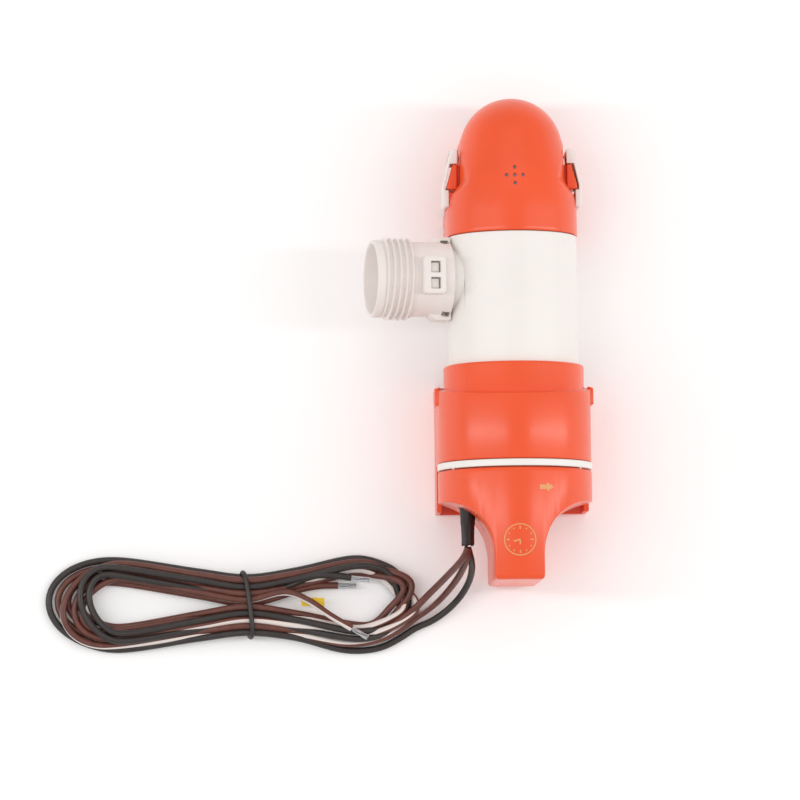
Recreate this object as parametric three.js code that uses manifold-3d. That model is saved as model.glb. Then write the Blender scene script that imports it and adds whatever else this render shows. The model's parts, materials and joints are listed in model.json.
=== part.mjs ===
// A low-profile bilge pump, lying on its bracket. Millimetres, +Z up, +Y along the pump towards the
// strainer's nose. The origin is on the floor, under the middle of the bracket's base plate.

import * as THREE from "three";
import { mergeVertices } from "three/addons/utils/BufferGeometryUtils.js";
import Module from "manifold-3d";

const wasm = await Module();
wasm.setup();

// ---------------------------------------------------------------- driving dimensions

const gap = 0.3; // clearance between pieces that touch
const wall = 2; // usual moulded wall
const degree = Math.PI / 180;

const axisHeight = 37.8; // pump axis above the floor
const outletTilt = 10 * degree; // the outlet points this much above the floor's plane

const bracketHalf = 34.8; // half width of the bracket and radius of its arch
const sleeveRadius = 31.9;
const casingRadius = 29.4;
const strainerRadius = 29.7;
const flangeRadius = 35.2;
const handleRadius = 35;
const boreRadius = casingRadius + gap; // of the bracket

// Stations along the pump axis
const gripEnd = -62.9;
const baseEnd = 29.5; // the base plate runs from -baseEnd to baseEnd
const skirtEnd = -26.2;
const flangeRear = -11.9;
const archRear = -8.5;
const sleeveFront = 35.6;
const jointPlane = 94.9; // the casing meets the strainer here
const outletY = 75;
const noseTip = 158.5;

const archTopFront = 20.9; // the arch's front face leans back from baseEnd at the floor to here
const counterboreDepth = 13.1; // rear counterbore of the bracket
const counterboreRadius = 31.6;
const casingRear = archRear + counterboreDepth - 2.6;

// Outlet fitting, measured from the pump axis along the outlet
const mouthAt = 65.9;
const threadStart = 47.6;
const neckStart = 30.5;
const neckRadius = 17;
const threadRadius = 18.8;
const threadPitch = 2.8;
const threadCount = 5;
const mouthBore = 15.8;
const neckBore = 15;
const stubRadius = 14.3;
const stubEnd = 43;

// Clips of the strainer
const clipPivot = { x: 27.2, y: 122 };
const clipHalfHeight = 7;
const pinRadius = 1;

// Motor and rotor
const shaftRadius = 2;
const motorRadius = 19.5;
const housingRadius = 26.1;
const casingBore = 26.5;

// Wires
const wireDiameter = 3.1;
const wireSides = 8;

// Sides of round pieces: large shells, middle-sized pieces and small ones
const fine = 32;
const medium = 22;
const coarse = 12;

// ---------------------------------------------------------------- materials

function plastic(color, roughness = 0.45) {
  return new THREE.MeshStandardMaterial({ color, roughness, metalness: 0 });
}

function metal(color, roughness = 0.35) {
  return new THREE.MeshStandardMaterial({ color, roughness, metalness: 0.9 });
}

const orange = plastic(0xf4602f);
const white = plastic(0xeee8e3);
const softWhite = plastic(0xeae2dc);
const nylon = plastic(0xd9d4c4, 0.6);
const black = plastic(0x26221f, 0.55);
const rubber = plastic(0x1d1c1b, 0.85);
const boardGreen = plastic(0x1f5a38, 0.5);
const brown = plastic(0x6b382c, 0.5);
const yellow = plastic(0xe3b91d, 0.6);
const steel = metal(0xb9bcc0);
const darkSteel = metal(0x7d8084, 0.45);
const copper = metal(0xb4713b, 0.4);
const graphite = plastic(0x3a3a3c, 0.7);
const ferrite = plastic(0x45474a, 0.8);

// ---------------------------------------------------------------- solids

// A closed geometry as a manifold solid with its faces pointing out.
function solid(geometry) {
  const loose = geometry.index ? geometry.toNonIndexed() : geometry;
  const bare = new THREE.BufferGeometry();
  bare.setAttribute("position", loose.getAttribute("position"));
  const merged = mergeVertices(bare, 1e-4);
  const triangles = new Uint32Array(merged.index.array);
  const vertProperties = merged.attributes.position.array;
  const build = () =>
    new wasm.Manifold(new wasm.Mesh({ numProp: 3, vertProperties, triVerts: triangles }));
  const first = build();
  if (first.volume() > 0) return first;
  for (let i = 0; i < triangles.length; i += 3) {
    const second = triangles[i + 1];
    triangles[i + 1] = triangles[i + 2];
    triangles[i + 2] = second;
  }
  return build();
}

function geometryOf(manifold) {
  const mesh = manifold.getMesh();
  const geometry = new THREE.BufferGeometry();
  geometry.setAttribute("position", new THREE.BufferAttribute(mesh.vertProperties, 3));
  geometry.setIndex(new THREE.BufferAttribute(mesh.triVerts, 1));
  geometry.computeVertexNormals();
  return geometry;
}

function joined(...solids) {
  return solids.reduce((whole, piece) => whole.add(piece));
}

function cut(body, ...tools) {
  return tools.reduce((left, tool) => left.subtract(tool), body);
}

function piece(parent, name, manifold, material) {
  const mesh = new THREE.Mesh(geometryOf(manifold), material);
  mesh.name = name;
  parent.add(mesh);
  return mesh;
}

function box(x0, x1, y0, y1, z0, z1) {
  const geometry = new THREE.BoxGeometry(x1 - x0, y1 - y0, z1 - z0);
  geometry.translate((x0 + x1) / 2, (y0 + y1) / 2, (z0 + z1) / 2);
  return solid(geometry);
}

function outline(points) {
  return new THREE.Shape(points.map(([x, y]) => new THREE.Vector2(x, y)));
}

// A solid of revolution about the Y axis, from [radius, y] points that close on themselves or
// start and end on the axis.
function turned(points, segments = fine) {
  const profile = points.map(([r, y]) => new THREE.Vector2(r, y));
  const onAxis = points[0][0] === 0 && points[points.length - 1][0] === 0;
  if (!onAxis) profile.push(profile[0].clone());
  return new THREE.LatheGeometry(profile, segments);
}

function tube(inner, outer, y0, y1, segments = medium) {
  const corners = [[inner, y0], [outer, y0], [outer, y1], [inner, y1]];
  return turned(corners, segments);
}

function rod(radius, y0, y1, segments = coarse) {
  return turned([[0, y0], [radius, y0], [radius, y1], [0, y1]], segments);
}

function torus(radius, thickness, y, segments = medium, sides = 6) {
  const ring = Array.from({ length: sides }, (_, i) => {
    const angle = (i * 2 * Math.PI) / sides;
    return [radius + thickness * Math.cos(angle), y + thickness * Math.sin(angle)];
  });
  return turned(ring, segments);
}

// An outline drawn in (x, z) and extruded along Y.
function alongY(shape, y0, y1, curveSegments = fine / 2) {
  const geometry = new THREE.ExtrudeGeometry(shape, {
    depth: y1 - y0,
    bevelEnabled: false,
    curveSegments,
  });
  geometry.rotateX(Math.PI / 2);
  geometry.translate(0, y1, 0);
  return geometry;
}

// An outline drawn in (x, y) and extruded along Z.
function upright(shape, z0, z1, curveSegments = fine / 2) {
  const geometry = new THREE.ExtrudeGeometry(shape, {
    depth: z1 - z0,
    bevelEnabled: false,
    curveSegments,
  });
  geometry.translate(0, 0, z0);
  return geometry;
}

// An outline drawn in (y, z) and extruded along X.
function alongX(shape, x0, x1, curveSegments = fine / 2) {
  const geometry = new THREE.ExtrudeGeometry(shape, {
    depth: x1 - x0,
    bevelEnabled: false,
    curveSegments,
  });
  const turn = new THREE.Matrix4().makeBasis(
    new THREE.Vector3(0, 1, 0),
    new THREE.Vector3(0, 0, 1),
    new THREE.Vector3(1, 0, 0),
  );
  geometry.applyMatrix4(turn);
  geometry.translate(x0, 0, 0);
  return geometry;
}

// A sector of a tube about the Y axis. Angles run from +X towards +Z.
function sector(inner, outer, centre, half, y0, y1) {
  const shape = new THREE.Shape();
  shape.absarc(0, 0, outer, centre - half, centre + half, false);
  shape.absarc(0, 0, inner, centre + half, centre - half, true);
  shape.closePath();
  return solid(alongY(shape, y0, y1, 8));
}

function lifted(geometry, z = axisHeight) {
  return geometry.translate(0, 0, z);
}

function mirrored(manifold) {
  return solid(geometryOf(manifold).applyMatrix4(new THREE.Matrix4().makeScale(-1, 1, 1)));
}

function turnedAboutY(geometry, angle) {
  return geometry.rotateY(-angle);
}

function vertical(geometry) {
  return geometry.rotateX(Math.PI / 2);
}

function hole(x, y, z0, z1, radius, segments = coarse) {
  return solid(vertical(rod(radius, z0, z1, segments)).translate(x, y, 0));
}

// A thin coil spring along Y from y0 to y1.
function coil(radius, wire, y0, y1, turns, stepsPerTurn = 7) {
  const steps = turns * stepsPerTurn;
  const points = Array.from({ length: steps + 1 }, (_, i) => {
    const angle = (i * 2 * Math.PI) / stepsPerTurn;
    const y = y0 + wire + ((y1 - y0 - 2 * wire) * i) / steps;
    return new THREE.Vector3(radius * Math.cos(angle), y, radius * Math.sin(angle));
  });
  const section = outline([[wire, 0], [0, wire], [-wire, 0], [0, -wire]]);
  return new THREE.ExtrudeGeometry(section, {
    steps,
    bevelEnabled: false,
    extrudePath: new THREE.CatmullRomCurve3(points),
  });
}

// A countersunk or cheese-head screw along Y: the head starts at y0, the shank ends at y1.
function screw(headRadius, headDepth, shankRadius, y0, y1) {
  const way = Math.sign(y1 - y0);
  const corners = [
    [0, y0],
    [headRadius, y0],
    [headRadius, y0 + way * headDepth],
    [shankRadius, y0 + way * headDepth],
    [shankRadius, y1],
    [0, y1],
  ];
  return turned(corners, 10);
}

// ---------------------------------------------------------------- groups

const pump = new THREE.Group();
const casingGroup = new THREE.Group(); // swivels about the pump axis in the bracket
casingGroup.position.z = axisHeight;
casingGroup.rotation.y = outletTilt;
const cartridgeGroup = new THREE.Group(); // twists about the pump axis to unlock
cartridgeGroup.position.z = axisHeight;
pump.add(casingGroup, cartridgeGroup);

// ---------------------------------------------------------------- bracket

const ribHalfAngle = 18 * degree;
const lugHalfAngle = 14 * degree;
const lockAngles = [90, 210, 330].map((a) => a * degree);
const boltHoles = [
  { x: -22, y: -19, top: 2 },
  { x: 22, y: -19, top: 2 },
  { x: -7, y: 14, top: 8.6 },
  { x: 7, y: 14, top: 8.6 },
];

function archSection() {
  const shape = new THREE.Shape();
  shape.moveTo(-bracketHalf, 0);
  shape.lineTo(bracketHalf, 0);
  shape.lineTo(bracketHalf, axisHeight);
  shape.absarc(0, axisHeight, bracketHalf, 0, Math.PI, false);
  shape.closePath();
  return shape;
}

// The hollow between the base plate, a side wall and the ring around the bore.
function cornerPocket(side) {
  const ring = 33.5;
  const wallInside = bracketHalf - 2.2;
  const ribHalf = 12;
  const start = Math.acos(wallInside / ring);
  const end = Math.acos(ribHalf / ring);
  const arc = Array.from({ length: 7 }, (_, i) => {
    const angle = start + ((end - start) * i) / 6;
    return [side * ring * Math.cos(angle), axisHeight - ring * Math.sin(angle)];
  });
  const points = [[side * wallInside, wall], ...arc, [side * ribHalf, wall]];
  return solid(alongY(outline(points), archRear - 1, baseEnd + 1));
}

function makeBracket() {
  const arch = solid(alongY(archSection(), archRear, baseEnd));
  const lean = (baseEnd - archTopFront) / (axisHeight + bracketHalf);
  const clearOf = 80; // above the arch
  const frontCut = outline([
    [baseEnd, 0],
    [baseEnd + 5, 0],
    [baseEnd + 5, clearOf],
    [baseEnd - clearOf * lean, clearOf],
  ]);
  const leaning = cut(arch, solid(alongX(frontCut, -50, 50)));
  const roundEdge = 1.2;
  const sleeve = turned(
    [
      [boreRadius, 0],
      [sleeveRadius, 0],
      [sleeveRadius, sleeveFront - roundEdge],
      [sleeveRadius - roundEdge * 0.3, sleeveFront - roundEdge * 0.3],
      [sleeveRadius - roundEdge, sleeveFront],
      [boreRadius, sleeveFront],
    ],
    fine,
  );
  const floorPlate = box(-bracketHalf, bracketHalf, -baseEnd, 0, 0, wall);
  const sideWalls = [-1, 1].map((side) => {
    const inner = side * (bracketHalf - 2.2);
    const outer = side * bracketHalf;
    return box(Math.min(inner, outer), Math.max(inner, outer), -baseEnd, 0, 0, 20);
  });
  const body = joined(leaning, solid(lifted(sleeve)), floorPlate, ...sideWalls);
  const bored = cut(
    body,
    solid(lifted(rod(boreRadius, 0, sleeveFront + 1, fine))),
    solid(lifted(rod(counterboreRadius, archRear - 1, archRear + counterboreDepth, fine))),
    cornerPocket(-1),
    cornerPocket(1),
  );
  const ribEnd = archRear + 2.9;
  const ribs = lockAngles.map((angle) => {
    const rib = sector(boreRadius - 0.1, counterboreRadius + 0.8, angle, ribHalfAngle, archRear, ribEnd);
    return solid(lifted(geometryOf(rib)));
  });
  const countersink = [[0, 0], [2.5, 0], [5, 2.5], [5, 9], [0, 9]];
  const holes = boltHoles.flatMap(({ x, y, top }) => [
    hole(x, y, -1, 14, 2.5),
    solid(vertical(turned(countersink, 16)).translate(x, y, top - 1.4)),
  ]);
  return cut(joined(bored, ...ribs), ...holes);
}

// ---------------------------------------------------------------- strainer

const flareFrom = { r: 22.47, y: 141.5 };
const noseCentre = 134.9;
const noseHalfWidth = 23.4;
const flareEnd = 106;
const flareSlope = 0.289;

// Half width of the strainer along its length: a cylinder, a smooth flare and an elliptic nose.
function strainerProfile(inset, from) {
  const span = flareFrom.y - flareEnd;
  const flare = new THREE.CubicBezierCurve(
    new THREE.Vector2(strainerRadius, flareEnd),
    new THREE.Vector2(strainerRadius, flareEnd + span / 3),
    new THREE.Vector2(flareFrom.r + (flareSlope * span) / 3, flareFrom.y - span / 3),
    new THREE.Vector2(flareFrom.r, flareFrom.y),
  );
  const noseLength = noseTip - noseCentre;
  const start = Math.asin((flareFrom.y - noseCentre) / noseLength);
  const nosePoints = 6;
  const nose = Array.from({ length: nosePoints }, (_, i) => {
    const angle = start + ((Math.PI / 2 - start) * (i + 1)) / nosePoints;
    return new THREE.Vector2(noseHalfWidth * Math.cos(angle), noseCentre + noseLength * Math.sin(angle));
  });
  const line = [...flare.getPoints(5), ...nose];
  const inner = line.map((p, i) => {
    const before = line[Math.max(i - 1, 0)];
    const after = line[Math.min(i + 1, line.length - 1)];
    const atTip = i === line.length - 1;
    const along = atTip ? new THREE.Vector2(-1, 0) : after.clone().sub(before).normalize();
    return [Math.max(p.x - inset * along.y, 0), p.y + inset * along.x];
  });
  inner[inner.length - 1][0] = 0;
  return [[0, from], [strainerRadius - inset, from], ...inner];
}

// Upper half turned, lower half with upright sides down to the floor.
function strainerBody(inset, from, bottom) {
  const profile = strainerProfile(inset, from);
  const dome = solid(lifted(turned(profile, 28)));
  const side = profile.slice(1);
  const plan = [...side, ...side.slice(0, -1).reverse().map(([x, y]) => [-x, y])];
  return dome.add(solid(upright(outline(plan), bottom, axisHeight)));
}

const pocketWall = 23.3;
const pocketHalfHeight = 11;

function clipPocket() {
  const plan = [
    [40, 141], [24.2, 138.6], [pocketWall, 134.6], [pocketWall, 118.5],
    [28.1, 114.6], [28.3, 107], [40, 106.8],
  ];
  const bottom = axisHeight - pocketHalfHeight;
  const scoop = solid(upright(outline(plan), bottom, axisHeight + pocketHalfHeight));
  const bevelTop = pocketHalfHeight + 7;
  const bevel = outline([
    [pocketWall, axisHeight + pocketHalfHeight - 1],
    [40, axisHeight + pocketHalfHeight - 1],
    [40, axisHeight + bevelTop],
    [pocketWall - 3.5, axisHeight + bevelTop],
  ]);
  return scoop.add(solid(alongY(bevel, 117, 137)));
}

// Material kept inside the dome behind the pocket.
function pocketBacking() {
  const plan = [[40, 142], [21.2, 140.5], [21.2, 117.4], [26.7, 113.9], [26.7, 98], [40, 98]];
  const bottom = axisHeight - pocketHalfHeight - wall;
  return solid(upright(outline(plan), bottom, axisHeight + pocketHalfHeight + 9));
}

// The ear that a clip rocks on: slotted for the clip's knuckle, and undercut behind its top.
function clipEar() {
  const inside = pocketWall - 1;
  const plan = outline([
    [inside, 116.3],
    [29.8, 116.3],
    [29.8, 118],
    [28.6, 122],
    [27.1, 127.6],
    [inside, 127.6],
  ]);
  const block = solid(upright(plan, axisHeight - 6.5, axisHeight + 6.5));
  const { y } = clipPivot;
  const knuckleSlot = box(pocketWall + 1, 40, y - 3, y + 3, axisHeight - 2.5, axisHeight + 2.5);
  const undercut = box(pocketWall + 0.4, pocketWall + 1.8, 110, 130, axisHeight + 3.5, axisHeight + 8);
  const pinHole = hole(clipPivot.x, clipPivot.y, axisHeight - 8, axisHeight + 8, pinRadius + gap, 12);
  return cut(block, knuckleSlot, undercut, pinHole);
}

function intakeSlots() {
  const slots = [];
  const slotWidth = 3;
  for (let y = 101; y < 134; y += 8) {
    slots.push(box(-40, 40, y, y + slotWidth, -1, 9));
  }
  for (const angle of [-45, 0, 45]) {
    const slot = new THREE.BoxGeometry(slotWidth, 30, 10);
    slot.translate(0, 20, 4);
    slot.rotateZ(angle * degree);
    slots.push(solid(slot.translate(0, noseCentre, 0)));
  }
  return slots;
}

function ventHoles() {
  const spacing = 3.7;
  const centre = 119.9;
  const places = [[0, 0], [spacing, 0], [-spacing, 0], [0, spacing], [0, -spacing]];
  return places.map(([x, y]) => hole(x, centre + y, axisHeight + 10, axisHeight + 40, 0.85, 10));
}

function makeStrainer() {
  const rearWall = jointPlane + 2.4;
  const backing = pocketBacking();
  const cavity = cut(strainerBody(wall, rearWall, -1), backing, mirrored(backing));
  const pocket = clipPocket();
  const ear = clipEar();
  const clawWindow = box(24, 29, 106.9, 111.4, axisHeight - 5, axisHeight + 5);
  const shell = cut(
    strainerBody(0, jointPlane, 0),
    cavity,
    solid(lifted(rod(26.7, jointPlane - 1, 114.2, fine))),
    pocket,
    mirrored(pocket),
    ...intakeSlots(),
    ...ventHoles(),
  );
  return cut(joined(shell, ear, mirrored(ear)), clawWindow, mirrored(clawWindow));
}

// ---------------------------------------------------------------- strainer clips

function clipOuter(y) {
  return 31.7 - Math.max(y - 118, 0) * 0.2216;
}

function makeClip() {
  const plate = 1.2;
  const plan = [
    [clipOuter(134.7) - 0.6, 134.7],
    [clipOuter(134.1), 134.1],
    [31.7, 118],
    [31.7, 109.2],
    [30.8, 108.2],
    [25.3, 108.2],
    [25.3, 109.8],
    [26, 110.7],
    [28.9, 110.7],
    [28.9, 115.9],
    [clipOuter(115.9) - plate, 115.9],
    [clipOuter(118) - plate, 118],
    [clipOuter(128) - plate, 128],
    [25, 128],
    [24.8, 134],
    [25.3, 134.7],
  ];
  const frame = solid(upright(outline(plan), axisHeight - clipHalfHeight, axisHeight + clipHalfHeight));
  const clawTrim = [-1, 1].map((side) => {
    const near = axisHeight + side * 4.2;
    const far = axisHeight + side * 10;
    return box(20, 28.8, 107, 111, Math.min(near, far), Math.max(near, far));
  });
  const knuckleHalf = 2.1;
  const knuckleRadius = 2.2;
  const knuckle = joined(
    hole(clipPivot.x, clipPivot.y, axisHeight - knuckleHalf, axisHeight + knuckleHalf, knuckleRadius, 16),
    box(clipPivot.x, clipOuter(124) - 0.4, 120, 124, axisHeight - knuckleHalf, axisHeight + knuckleHalf),
  );
  const springSeat = solid(rod(1.5, 24, 26.9, 12).rotateZ(-Math.PI / 2).translate(0, 131.2, axisHeight));
  const pinHole = hole(clipPivot.x, clipPivot.y, axisHeight - 8, axisHeight + 8, pinRadius + gap, 12);
  return cut(joined(cut(frame, ...clawTrim), knuckle), springSeat, pinHole);
}

function makeClipPin() {
  return hole(clipPivot.x, clipPivot.y, axisHeight - 6.3, axisHeight + 6.3, pinRadius, 12);
}

function makeClipSpring() {
  const spring = coil(1, 0.18, pocketWall + 0.25, 26.7, 3);
  return solid(spring.rotateZ(-Math.PI / 2).translate(0, 131.2, axisHeight));
}

// ---------------------------------------------------------------- casing

const coverBoltRadius = 20.3;
const coverBoltAngles = [90, 210, 330].map((a) => a * degree);
const ledge = 90.5; // front face of the ledge that carries the suction cover

// Turned geometry about the outlet's axis: its +Y becomes -X.
function alongOutlet(geometry) {
  return geometry.rotateZ(Math.PI / 2).translate(0, outletY, 0);
}

// A box in the outlet's own measures: u along the outlet, v along the pump, w across both.
function outletBox(u0, u1, v0, v1, w0, w1) {
  return box(-u1, -u0, outletY + v0, outletY + v1, w0, w1);
}

const windowPlaces = [-3.66, 3.66];

function makeCasing() {
  const lip = casingRadius + 1.5;
  const shell = turned(
    [
      [casingBore, casingRear],
      [lip, casingRear],
      [lip, casingRear + 2.2],
      [casingRadius, casingRear + 2.2],
      [casingRadius, jointPlane - gap],
      [24.8, jointPlane - gap],
      [24.8, 110.9],
      [26.2, 111.3],
      [26.2, 113],
      [25.4, 113.6],
      [22.6, 113.6],
      [22.6, ledge],
      [18.4, ledge],
      [18.4, 88],
      [casingBore, 88],
    ],
    fine,
  );
  const stub = cut(
    solid(alongOutlet(rod(stubRadius, 20, stubEnd, medium))),
    solid(rod(casingBore, 40, 88, fine)),
  );
  const hooks = windowPlaces.flatMap((v) => [
    outletBox(38.2, 42, v - 2.2, v + 2.2, 12, 18.2),
    outletBox(38.2, 42, v - 2.2, v + 2.2, -18.2, -12),
  ]);
  const body = joined(solid(shell), stub, ...hooks);
  const flow = turned([[0, 15], [11.2, 15], [11.2, 40.8], [9.5, 41], [9.5, 50], [0, 50]], medium);
  const sealGroove = tube(12.7, 20, 33, 34.9, medium);
  const boltHolesInLedge = coverBoltAngles.map((angle) =>
    solid(turnedAboutY(rod(1.4, 86, 92, 8).translate(coverBoltRadius, 0, 0), angle)),
  );
  return cut(body, solid(alongOutlet(flow)), solid(alongOutlet(sealGroove)), ...boltHolesInLedge);
}

function makeOutletFitting() {
  const root = neckRadius + 0.2;
  const teeth = Array.from({ length: threadCount }, (_, i) => {
    const u = mouthAt - 4.6 - i * threadPitch;
    return [
      [root, u],
      [threadRadius, u - 1.1],
      [root, u - 2.2],
    ];
  }).flat();
  const profile = [
    [mouthBore, mouthAt],
    [neckRadius + 0.3, mouthAt],
    [neckRadius + 0.6, mouthAt - 0.4],
    [neckRadius + 0.6, mouthAt - 3.6],
    ...teeth,
    [neckRadius, threadStart - 1],
    [neckRadius, 38],
    [neckRadius + 0.4, 32],
    [neckRadius + 0.2, neckStart],
    [neckBore, neckStart],
    [neckBore, 50],
    [mouthBore, 51],
  ];
  const bossHalf = 8.45;
  const bossTop = 20.5;
  const chamfer = 1.6;
  const bossPlan = outline([
    [-45.6 + chamfer, -bossHalf], [-35.4 - chamfer, -bossHalf], [-35.4, -bossHalf + chamfer],
    [-35.4, bossHalf - chamfer], [-35.4 - chamfer, bossHalf], [-45.6 + chamfer, bossHalf],
    [-45.6, bossHalf - chamfer], [-45.6, -bossHalf + chamfer],
  ]);
  const bosses = [upright(bossPlan, 13, bossTop), upright(bossPlan, -bossTop, -13)];
  const lugPlan = [[-29.8, 13], [-29.8, 19], [-36.9, 19], [-40.5, 16.5], [-40.5, 13]];
  const lugs = [-1, 1].map((side) =>
    upright(outline(lugPlan.map(([x, y]) => [x, side * y])), -5, 5),
  );
  const inPlace = (geometry) => solid(geometry.translate(0, outletY, 0));
  const collars = [...bosses, ...lugs].map(inPlace);
  const body = joined(solid(alongOutlet(turned(profile, 28))), ...collars);
  const bore = solid(alongOutlet(rod(neckBore, 20, 50, 28)));
  const windows = windowPlaces.flatMap((v) => [
    outletBox(37.8, 42.4, v - 2.6, v + 2.6, 10, 25),
    outletBox(37.8, 42.4, v - 2.6, v + 2.6, -25, -10),
  ]);
  const slots = [
    outletBox(30.9, 34.6, 12, 17.3, -8, 8),
    outletBox(30.9, 34.6, -17.3, -12, -8, 8),
  ];
  return cut(body, bore, ...windows, ...slots);
}

const flapHinge = { u: 44.8, w: 12.3 };

function makeFlap() {
  const disc = rod(11.2, stubEnd + gap, stubEnd + gap + 1.5, medium);
  const { u, w } = flapHinge;
  const knuckle = rod(1.5, outletY - 4, outletY + 4, 14).translate(-u, 0, w);
  const arm = box(-u, -u + 1.5, outletY - 4, outletY + 4, 9, w);
  const pinHole = rod(0.9, outletY - 6, outletY + 6, 12).translate(-u, 0, w);
  return cut(joined(solid(alongOutlet(disc)), arm, solid(knuckle)), solid(pinHole));
}

function makeFlapPin() {
  return solid(rod(0.6, outletY - 7, outletY + 7, 12).translate(-flapHinge.u, 0, flapHinge.w));
}

function makeSuctionCover() {
  const profile = [
    [9.2, 81],
    [18, 81],
    [18, 82.6],
    [11, 83.6],
    [11, 90.8],
    [22.2, 90.8],
    [22.2, 93],
    [11.5, 93],
    [9.2, 91],
  ];
  const holes = coverBoltAngles.map((angle) =>
    solid(turnedAboutY(rod(1.4, 88, 96, 8).translate(coverBoltRadius, 0, 0), angle)),
  );
  return cut(solid(turned(profile, medium)), ...holes);
}

// ---------------------------------------------------------------- cartridge

const capBore = 30.5;
const flangeBoltRadius = 32.7;
const flangeBoltAngles = [30, 150, 270].map((a) => a * degree);
const boardBoltZ = 17;

function makeHousing() {
  const profile = [
    [23.6, -17],
    [30.1, -17],
    [30.1, -15.4],
    [28.3, -15.4],
    [28.3, -13.6],
    [30.1, -13.6],
    [30.1, flangeRear],
    [flangeRadius, flangeRear],
    [flangeRadius, archRear - gap],
    [housingRadius, archRear - gap],
    [housingRadius, 47.5],
    [23.7, 47.5],
    [23.7, 50.3],
    [housingRadius, 50.3],
    [housingRadius, 61],
    [6.6, 61],
    [6.6, 57.4],
    [3, 57.4],
    [3, 55.6],
    [21.4, 55.6],
    [21.4, 45.5],
    [23.6, 44],
  ];
  const lugs = lockAngles.map((angle) => sector(25, 30.9, angle, lugHalfAngle, -5.2, -2));
  const holes = flangeBoltAngles.flatMap((angle) => [
    solid(turnedAboutY(rod(1.4, -13, -8, 8).translate(flangeBoltRadius, 0, 0), angle)),
    solid(turnedAboutY(rod(2, -10.2, -8, 10).translate(flangeBoltRadius, 0, 0), angle)),
  ]);
  return cut(joined(solid(turned(profile, 28)), ...lugs), ...holes);
}

// The handle in plan: full width at the skirt, sweeping in to the grip bar.
function handlePlan() {
  const front = flangeRear - gap;
  const gripHalf = 11.1;
  const shape = new THREE.Shape();
  shape.moveTo(0, front);
  shape.lineTo(36, front);
  shape.lineTo(36, skirtEnd);
  shape.lineTo(30.5, skirtEnd - 0.8);
  shape.bezierCurveTo(19.5, -29.6, 11.3, -37.5, gripHalf, -51.4);
  shape.lineTo(gripHalf, gripEnd + 1);
  shape.lineTo(gripHalf - 1, gripEnd);
  shape.lineTo(0, gripEnd);
  const right = shape.getPoints(9).map((p) => [p.x, p.y]);
  const left = right.slice(1, -1).reverse().map(([x, y]) => [-x, y]);
  return outline([...right, ...left]);
}

// The handle is hollow and open to the front, over the housing's cap.
function makeHandle() {
  const front = flangeRear - gap;
  const block = solid(upright(handlePlan(), -handleRadius, handleRadius));
  const roundProfile = [
    [0, gripEnd],
    [33.5, gripEnd],
    [handleRadius - 0.2, gripEnd + 2],
    [handleRadius, front],
    [0, front],
  ];
  const round = solid(turned(roundProfile, fine));
  const hollows = [
    solid(rod(capBore, -22.6, front + 1, 30)),
    box(-8, 8, gripEnd + 3, -20, -29, 29),
  ];
  const shell = cut(round.intersect(block), ...hollows);
  const boardPosts = [-1, 1].map((side) => {
    const post = solid(rod(2.6, -24, -15.9, 14).translate(0, 0, side * boardBoltZ));
    return post.add(box(-8.5, 8.5, -45, -22, side * boardBoltZ - 1, side * boardBoltZ + 1));
  });
  const postHoles = [-1, 1].map((side) =>
    solid(rod(1.1, -22, -14, 8).translate(0, 0, side * boardBoltZ)),
  );
  const flangeHoles = flangeBoltAngles.map((angle) =>
    solid(turnedAboutY(rod(1.4, -20, -11, 8).translate(flangeBoltRadius, 0, 0), angle)),
  );
  const wireHole = solid(rod(4.1, -40, -20, 16).scale(1, 1, bootStretch).translate(bootX, 0, 0));
  return cut(joined(shell, ...boardPosts), ...postHoles, ...flangeHoles, wireHole);
}

// ---------------------------------------------------------------- motor

const coreStart = 17;
const coreEnd = 43;
const poles = 5;

function makeMotorCan() {
  const profile = [
    [18.3, 4.2],
    [motorRadius, 4.2],
    [motorRadius, 53.6],
    [18.9, 54.6],
    [2.9, 54.6],
    [2.9, 53.2],
    [18.3, 53.2],
  ];
  return solid(turned(profile, medium));
}

function makeMagnet(centre) {
  return sector(15.7, 18, centre, 62 * degree, 14, 46);
}

function makeEndBell() {
  const plate = solid(tube(5.6, motorRadius, 0.6, 3.9));
  const guides = [-1, 1].map((side) => {
    const guide = cut(box(7, 17.2, 3.5, 11, -3.7, 3.7), box(6, 16.2, 5, 10, -2.4, 2.4));
    return side > 0 ? guide : mirrored(guide);
  });
  return joined(plate, ...guides);
}

function makeBrush(side) {
  const ends = [side * 5.9, side * 11.6].sort((a, b) => a - b);
  return box(ends[0], ends[1], 5.3, 9.7, -2.1, 2.1);
}

function makeBrushSpring(side) {
  return solid(coil(1.5, 0.22, 11.8, 16, 3).rotateZ((-side * Math.PI) / 2).translate(0, 7.5, 0));
}

function makeBearing(y0, y1) {
  return solid(tube(shaftRadius + gap, 5.3, y0, y1, 16));
}

function makeShaftSeal() {
  const profile = [[2.3, 57.7], [6.3, 57.7], [6.3, 60.7], [5, 60.7], [4.4, 58.9], [2.9, 58.9], [2.3, 60.2]];
  return solid(turned(profile, 16));
}

// Plan of the laminated core: five T-shaped poles on a hub.
function coreOutline(grow) {
  const hub = 6 + grow;
  const tip = 15.2 + grow;
  const neck = 2.2 + grow;
  const tipHalf = (28 * degree) + grow / 15;
  const under = 12.8 - grow;
  const points = [];
  for (let pole = 0; pole < poles; pole++) {
    const middle = (pole * 2 * Math.PI) / poles;
    const at = (radius, angle) => {
      const turn = middle + angle;
      return [radius * Math.cos(turn), radius * Math.sin(turn)];
    };
    points.push(at(hub, -Math.asin(neck / hub)));
    points.push(at(under, -Math.asin(neck / under)));
    points.push(at(under + 0.4, -tipHalf));
    for (let step = -1; step <= 1; step += 0.5) points.push(at(tip, step * tipHalf));
    points.push(at(under + 0.4, tipHalf));
    points.push(at(under, Math.asin(neck / under)));
    points.push(at(hub, Math.asin(neck / hub)));
  }
  return outline(points);
}

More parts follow.
